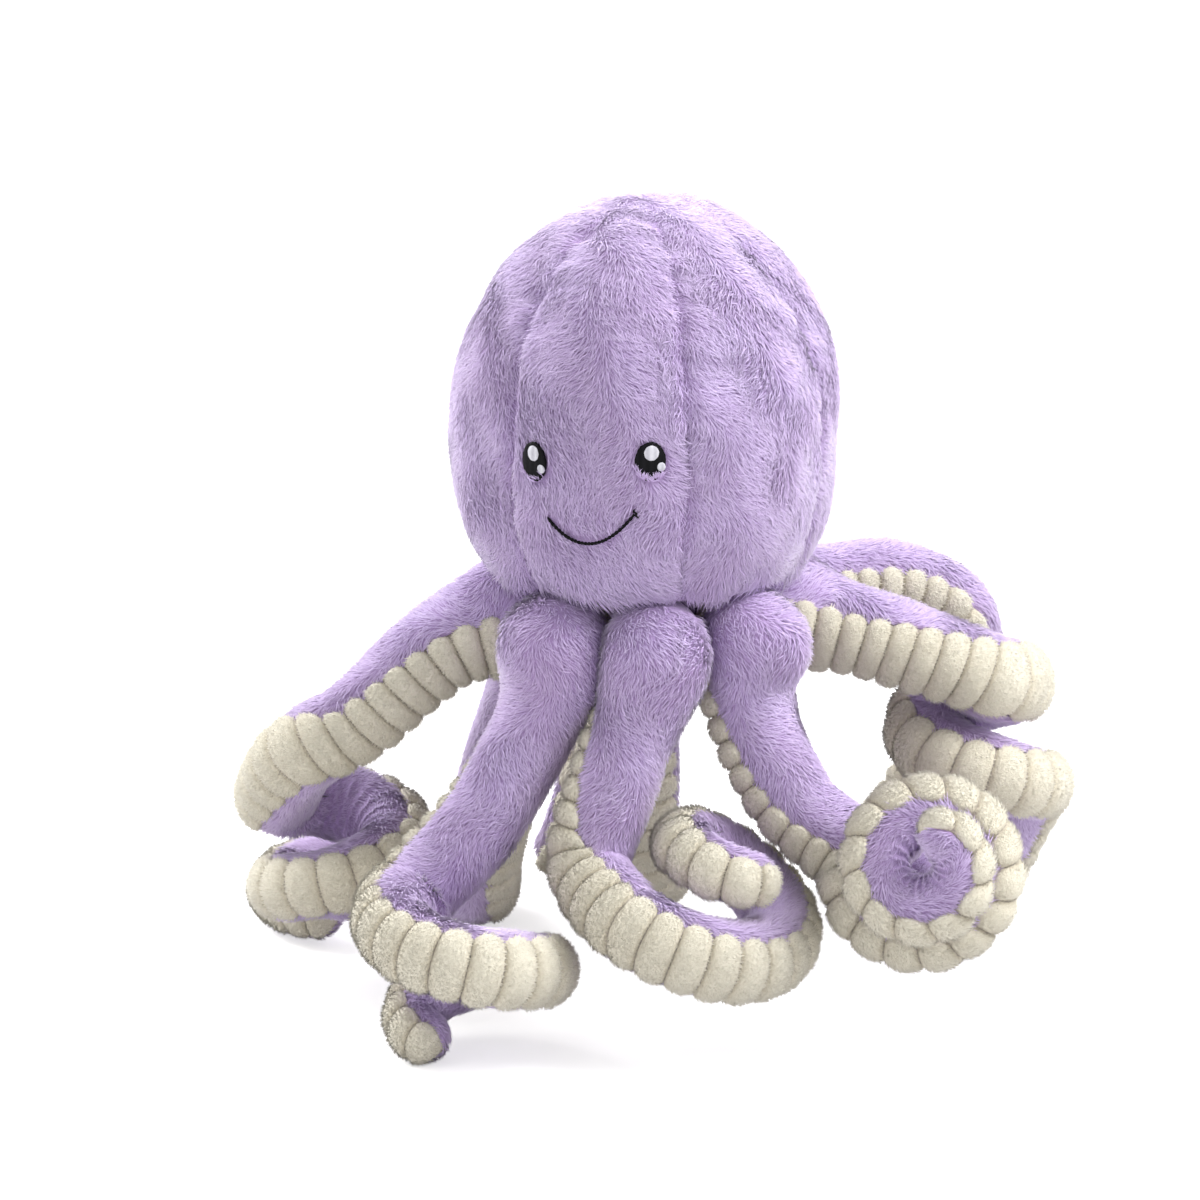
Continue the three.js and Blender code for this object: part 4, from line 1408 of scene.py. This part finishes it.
    def make_fur(self) -> None:
        """The fur panel over the arm's back."""
        sides = np.linspace(-self.seam_turn, self.seam_turn, self.fur_columns)
        along, turn = np.meshgrid(self.stations(self.ring_step), sides, indexing="ij")
        shape = Shape()
        shell = closed_shell(self.fur_skin(along, turn, 0.0), self.fur_skin(along, turn, self.cloth))
        # The cloth takes the roots' dark colour: painted shade between the tufts.
        shape.add(**shell, height=0.2, lock=0.5)
        rng = np.random.default_rng(200 + self.seed)
        for pile in (self.pile, self.guard):
            at, turned = self.scattered(pile, self.seam_turn - 1.5, rng)
            roots = self.fur_skin(at, turned, 0.0)
            forward = self.fur_skin(at + MILLIMETRE, turned, 0.0) - roots
            room_for = np.linalg.norm(forward, axis=-1) / MILLIMETRE
            core = self.section(at, turned, self.half_width)
            ahead = unit(self.section(at + MILLIMETRE, turned, self.half_width) - core)
            free = smooth((room_for - 0.25) / 0.5)[:, None]
            normals = unit(free * self.normals(self.fur_skin, at, turned) + (1.0 - free) * unit(roots - core))
            round_way = unit(self.fur_skin(at, turned + 2.0, 0.0) - roots)
            loose = 0.85 + 0.9 * bell(at / self.loose_reach)
            lean = 0.9 * np.sign(turned) * smooth((np.abs(turned) - self.lean_from) / self.lean_over)
            combed = unit(free * unit(forward) + (1.0 - free) * ahead)
            combed = combed + round_way * (loose * self.swirl.at(roots) + lean)[:, None]
            faded = smooth((at - self.length + self.tip_fade) / self.tip_fade)
            shares = (1.0 - 0.3 * faded) * np.clip(room_for, 0.4, 1.0)
            stays = rng.uniform(0.22, 1.0, len(at)) < 1.15 * room_for + 0.15
            lifts = np.clip(room_for, 0.5, 1.0)[stays]
            pile.grow(shape, roots[stays], normals[stays], combed[stays], rng, shares[stays], lifts=lifts)
        shape.rest_on_floor()
        name = self.plan.name
        self.room.dress(shape, f"{name}_fur_back", Slot.FUR, name, f"{name}_fur", f"{name}_stuffing", fill=self.fill)

    def make_ribs(self) -> None:
        """The ribbed strip along the arm's underside."""
        ways = (np.array(self.rib_stops) + 1.0) / 2.0
        ribbed = (self.first_rib + self.pitch * (np.arange(self.rib_count)[:, None] + ways)).ravel()
        root = self.stations(self.ring_step)
        stations = np.concatenate([root[root < self.first_rib - MILLIMETRE], ribbed, [self.length]])
        sides = self.rib_edge * np.sin(np.linspace(-math.pi / 2.0, math.pi / 2.0, self.rib_columns))
        along, turn = np.meshgrid(stations, sides, indexing="ij")
        shape = Shape()
        shell = closed_shell(self.rib_skin(along, turn, 0.0), self.section(along, 180.0 + turn, self.rib_cloth))
        # The strip's colour follows the ribs' height: painted shade in the valleys between them.
        height = np.concatenate([self.rib_height(along, turn / self.rib_edge).ravel(), np.zeros(along.size)])
        shape.add(**shell, height=0.85 * height, lock=0.5)
        rng = np.random.default_rng(300 + self.seed)
        at, turned = self.scattered(self.nap, self.rib_edge - 2.0, rng)
        rise = self.rib_height(at, turned / self.rib_edge)
        stays = rise > 0.35
        at, turned, rise = at[stays], turned[stays], rise[stays]
        roots, normals = self.rib_skin(at, turned, 0.0), self.normals(self.rib_skin, at, turned)
        ahead = self.section(at + MILLIMETRE, 180.0 + turned, 0.0) - self.section(at, 180.0 + turned, 0.0)
        self.nap.grow(shape, roots, normals, ahead, rng, 0.6 + 0.5 * rise)
        # The nap tufts take the colour of the rib under them: painted shade in the valleys.
        grown = shape.values["height"][-1]
        shape.values["height"][-1] = np.repeat(rise, 4) * 0.8 + 0.2 * grown
        shape.rest_on_floor()
        name = self.plan.name
        self.room.dress(shape, f"{name}_ribs", Slot.PLUSH, name, f"{name}_ribbed_underside", fill=self.rib_fill)

    def build(self) -> None:
        """Makes the whole arm."""
        self.stand()
        self.make_fur()
        self.make_ribs()


@dataclass
class Studio:
    """The pale floor, the soft lights and the camera."""

    azimuth: float = 17.0
    elevation: float = 15.0
    distance: float = 9.0
    lens: float = 540.0
    aside: float = -0.0225
    over: float = 0.1975
    floor_size: float = 12.0
    glow: float = 0.62
    sky: float = 0.63
    lights: tuple[tuple[str, Place, float, float], ...] = (
        ("key_light", (1.4, 0.15, 1.4), 1.4, 52.0),
        ("back_light", (-1.5, 0.4, 1.2), 1.2, 44.0),
        ("fill_light", (-0.5, -1.8, 1.3), 1.6, 6.0),
    )

    def put(self, data: bpy.types.ID, aim: Vector, way: Vector, times: float = 1.0) -> bpy.types.Object:
        """Stands a camera or a light off from a place, facing it.

        Args:
            data: The camera or the light.
            aim: The place.
            way: The way to go off from there.
            times: How many times that way.

        Returns:
            The new object.
        """
        made = bpy.data.objects.new(data.name, data)
        made.location = aim + way * times
        made.rotation_euler = way.to_track_quat("Z", "Y").to_euler()
        bpy.context.scene.collection.objects.link(made)
        return made

    def set_camera(self) -> None:
        """Puts the camera at the photograph's angle, far off, with a long lens."""
        turn, tilt = math.radians(self.azimuth), math.radians(self.elevation)
        right = Vector(round_place(turn + math.pi / 2.0, 1.0, 0.0))
        toward = Vector(round_place(turn, math.cos(tilt), math.sin(tilt)))
        aim = Vector((MIDDLE[0], MIDDLE[1], 0.0)) + right * self.aside + toward.cross(right) * self.over
        data = bpy.data.cameras.new("camera")
        data.lens, data.sensor_width, data.clip_end = self.lens, 36.0, 60.0
        bpy.context.scene.camera = self.put(data, aim, toward, self.distance)

    def add_light(self, name: str, off: Place, size: float, power: float) -> None:
        """Adds one soft square light that faces the toy.

        Args:
            name: Its name.
            off: Where it stands, from the toy's middle.
            size: Its side.
            power: Its power in watts.
        """
        data = bpy.data.lights.new(name, "AREA")
        data.shape, data.size, data.energy = "SQUARE", size, power
        self.put(data, Vector((MIDDLE[0], MIDDLE[1], 0.2)), Vector(off))

    def make_floor(self) -> None:
        """A wide pale floor, white to the camera where no shadow falls."""
        corners = np.array(((-1, -1, 0), (1, -1, 0), (1, 1, 0), (-1, 1, 0))) * self.floor_size / 2.0
        shape = Shape()
        shape.add(corners, quads=(0, 1, 2, 3))
        floor = shape.to_object("floor")
        bench = Bench(bpy.data.materials.new("pale_floor"))
        grain = bench.noise(0.02, 2.0)
        colour = bench.mix(grain, linear(218, 217, 218), linear(222, 221, 222))
        camera, glossy, transmitted = bench.rays("Camera", "Glossy", "Transmission")
        bench.finish(colour, 0.9 + 0.05 * grain, grain, 0.0001, Specular_IOR_Level=0.1)
        surface = Wire(bench, bench.tree.nodes["Principled BSDF"].outputs[0])
        glow = bench.node("ShaderNodeEmission", {"Color": (1.0, 1.0, 1.0, 1.0), "Strength": self.glow})
        added = bench.node("ShaderNodeAddShader", {0: surface, 1: glow})
        seen = (camera + glossy + transmitted).held()
        mixed = bench.node("ShaderNodeMixShader", {0: seen, 1: surface, 2: added})
        bench.feed(bench.tree.nodes["Material Output"], {"Surface": mixed})
        floor.data.materials.append(bench.owner)

    def light_world(self) -> None:
        """Soft light from all round, white where the camera looks past the floor."""
        world = bpy.data.worlds.new("soft_world")
        bpy.context.scene.world = world
        bench = Bench(world)
        camera, glossy = bench.rays("Camera", "Glossy")
        seen = camera.maths("MAXIMUM", glossy)
        strength = bench.node("ShaderNodeMapRange", {"Value": seen, "To Min": self.sky, "To Max": 1.0})
        bench.feed(bench.tree.nodes["Background"], {"Color": (1.0, 1.0, 1.0, 1.0), "Strength": strength})

    def build(self) -> None:
        """Sets up the camera, the lights and the floor."""
        bpy.context.scene.view_settings.view_transform = "Standard"
        self.set_camera()
        self.make_floor()
        self.light_world()
        for light in self.lights:
            self.add_light(*light)


def main() -> None:
    """Builds the studio, the head and the arms in order."""
    logging.basicConfig(level=logging.INFO, format="%(message)s")
    Studio().build()
    room = Workroom()
    Head(room).build()
    for seed, plan in enumerate(ARM_PLANS):
        Arm(room, plan, seed).build()


if __name__ == "__main__":
    main()
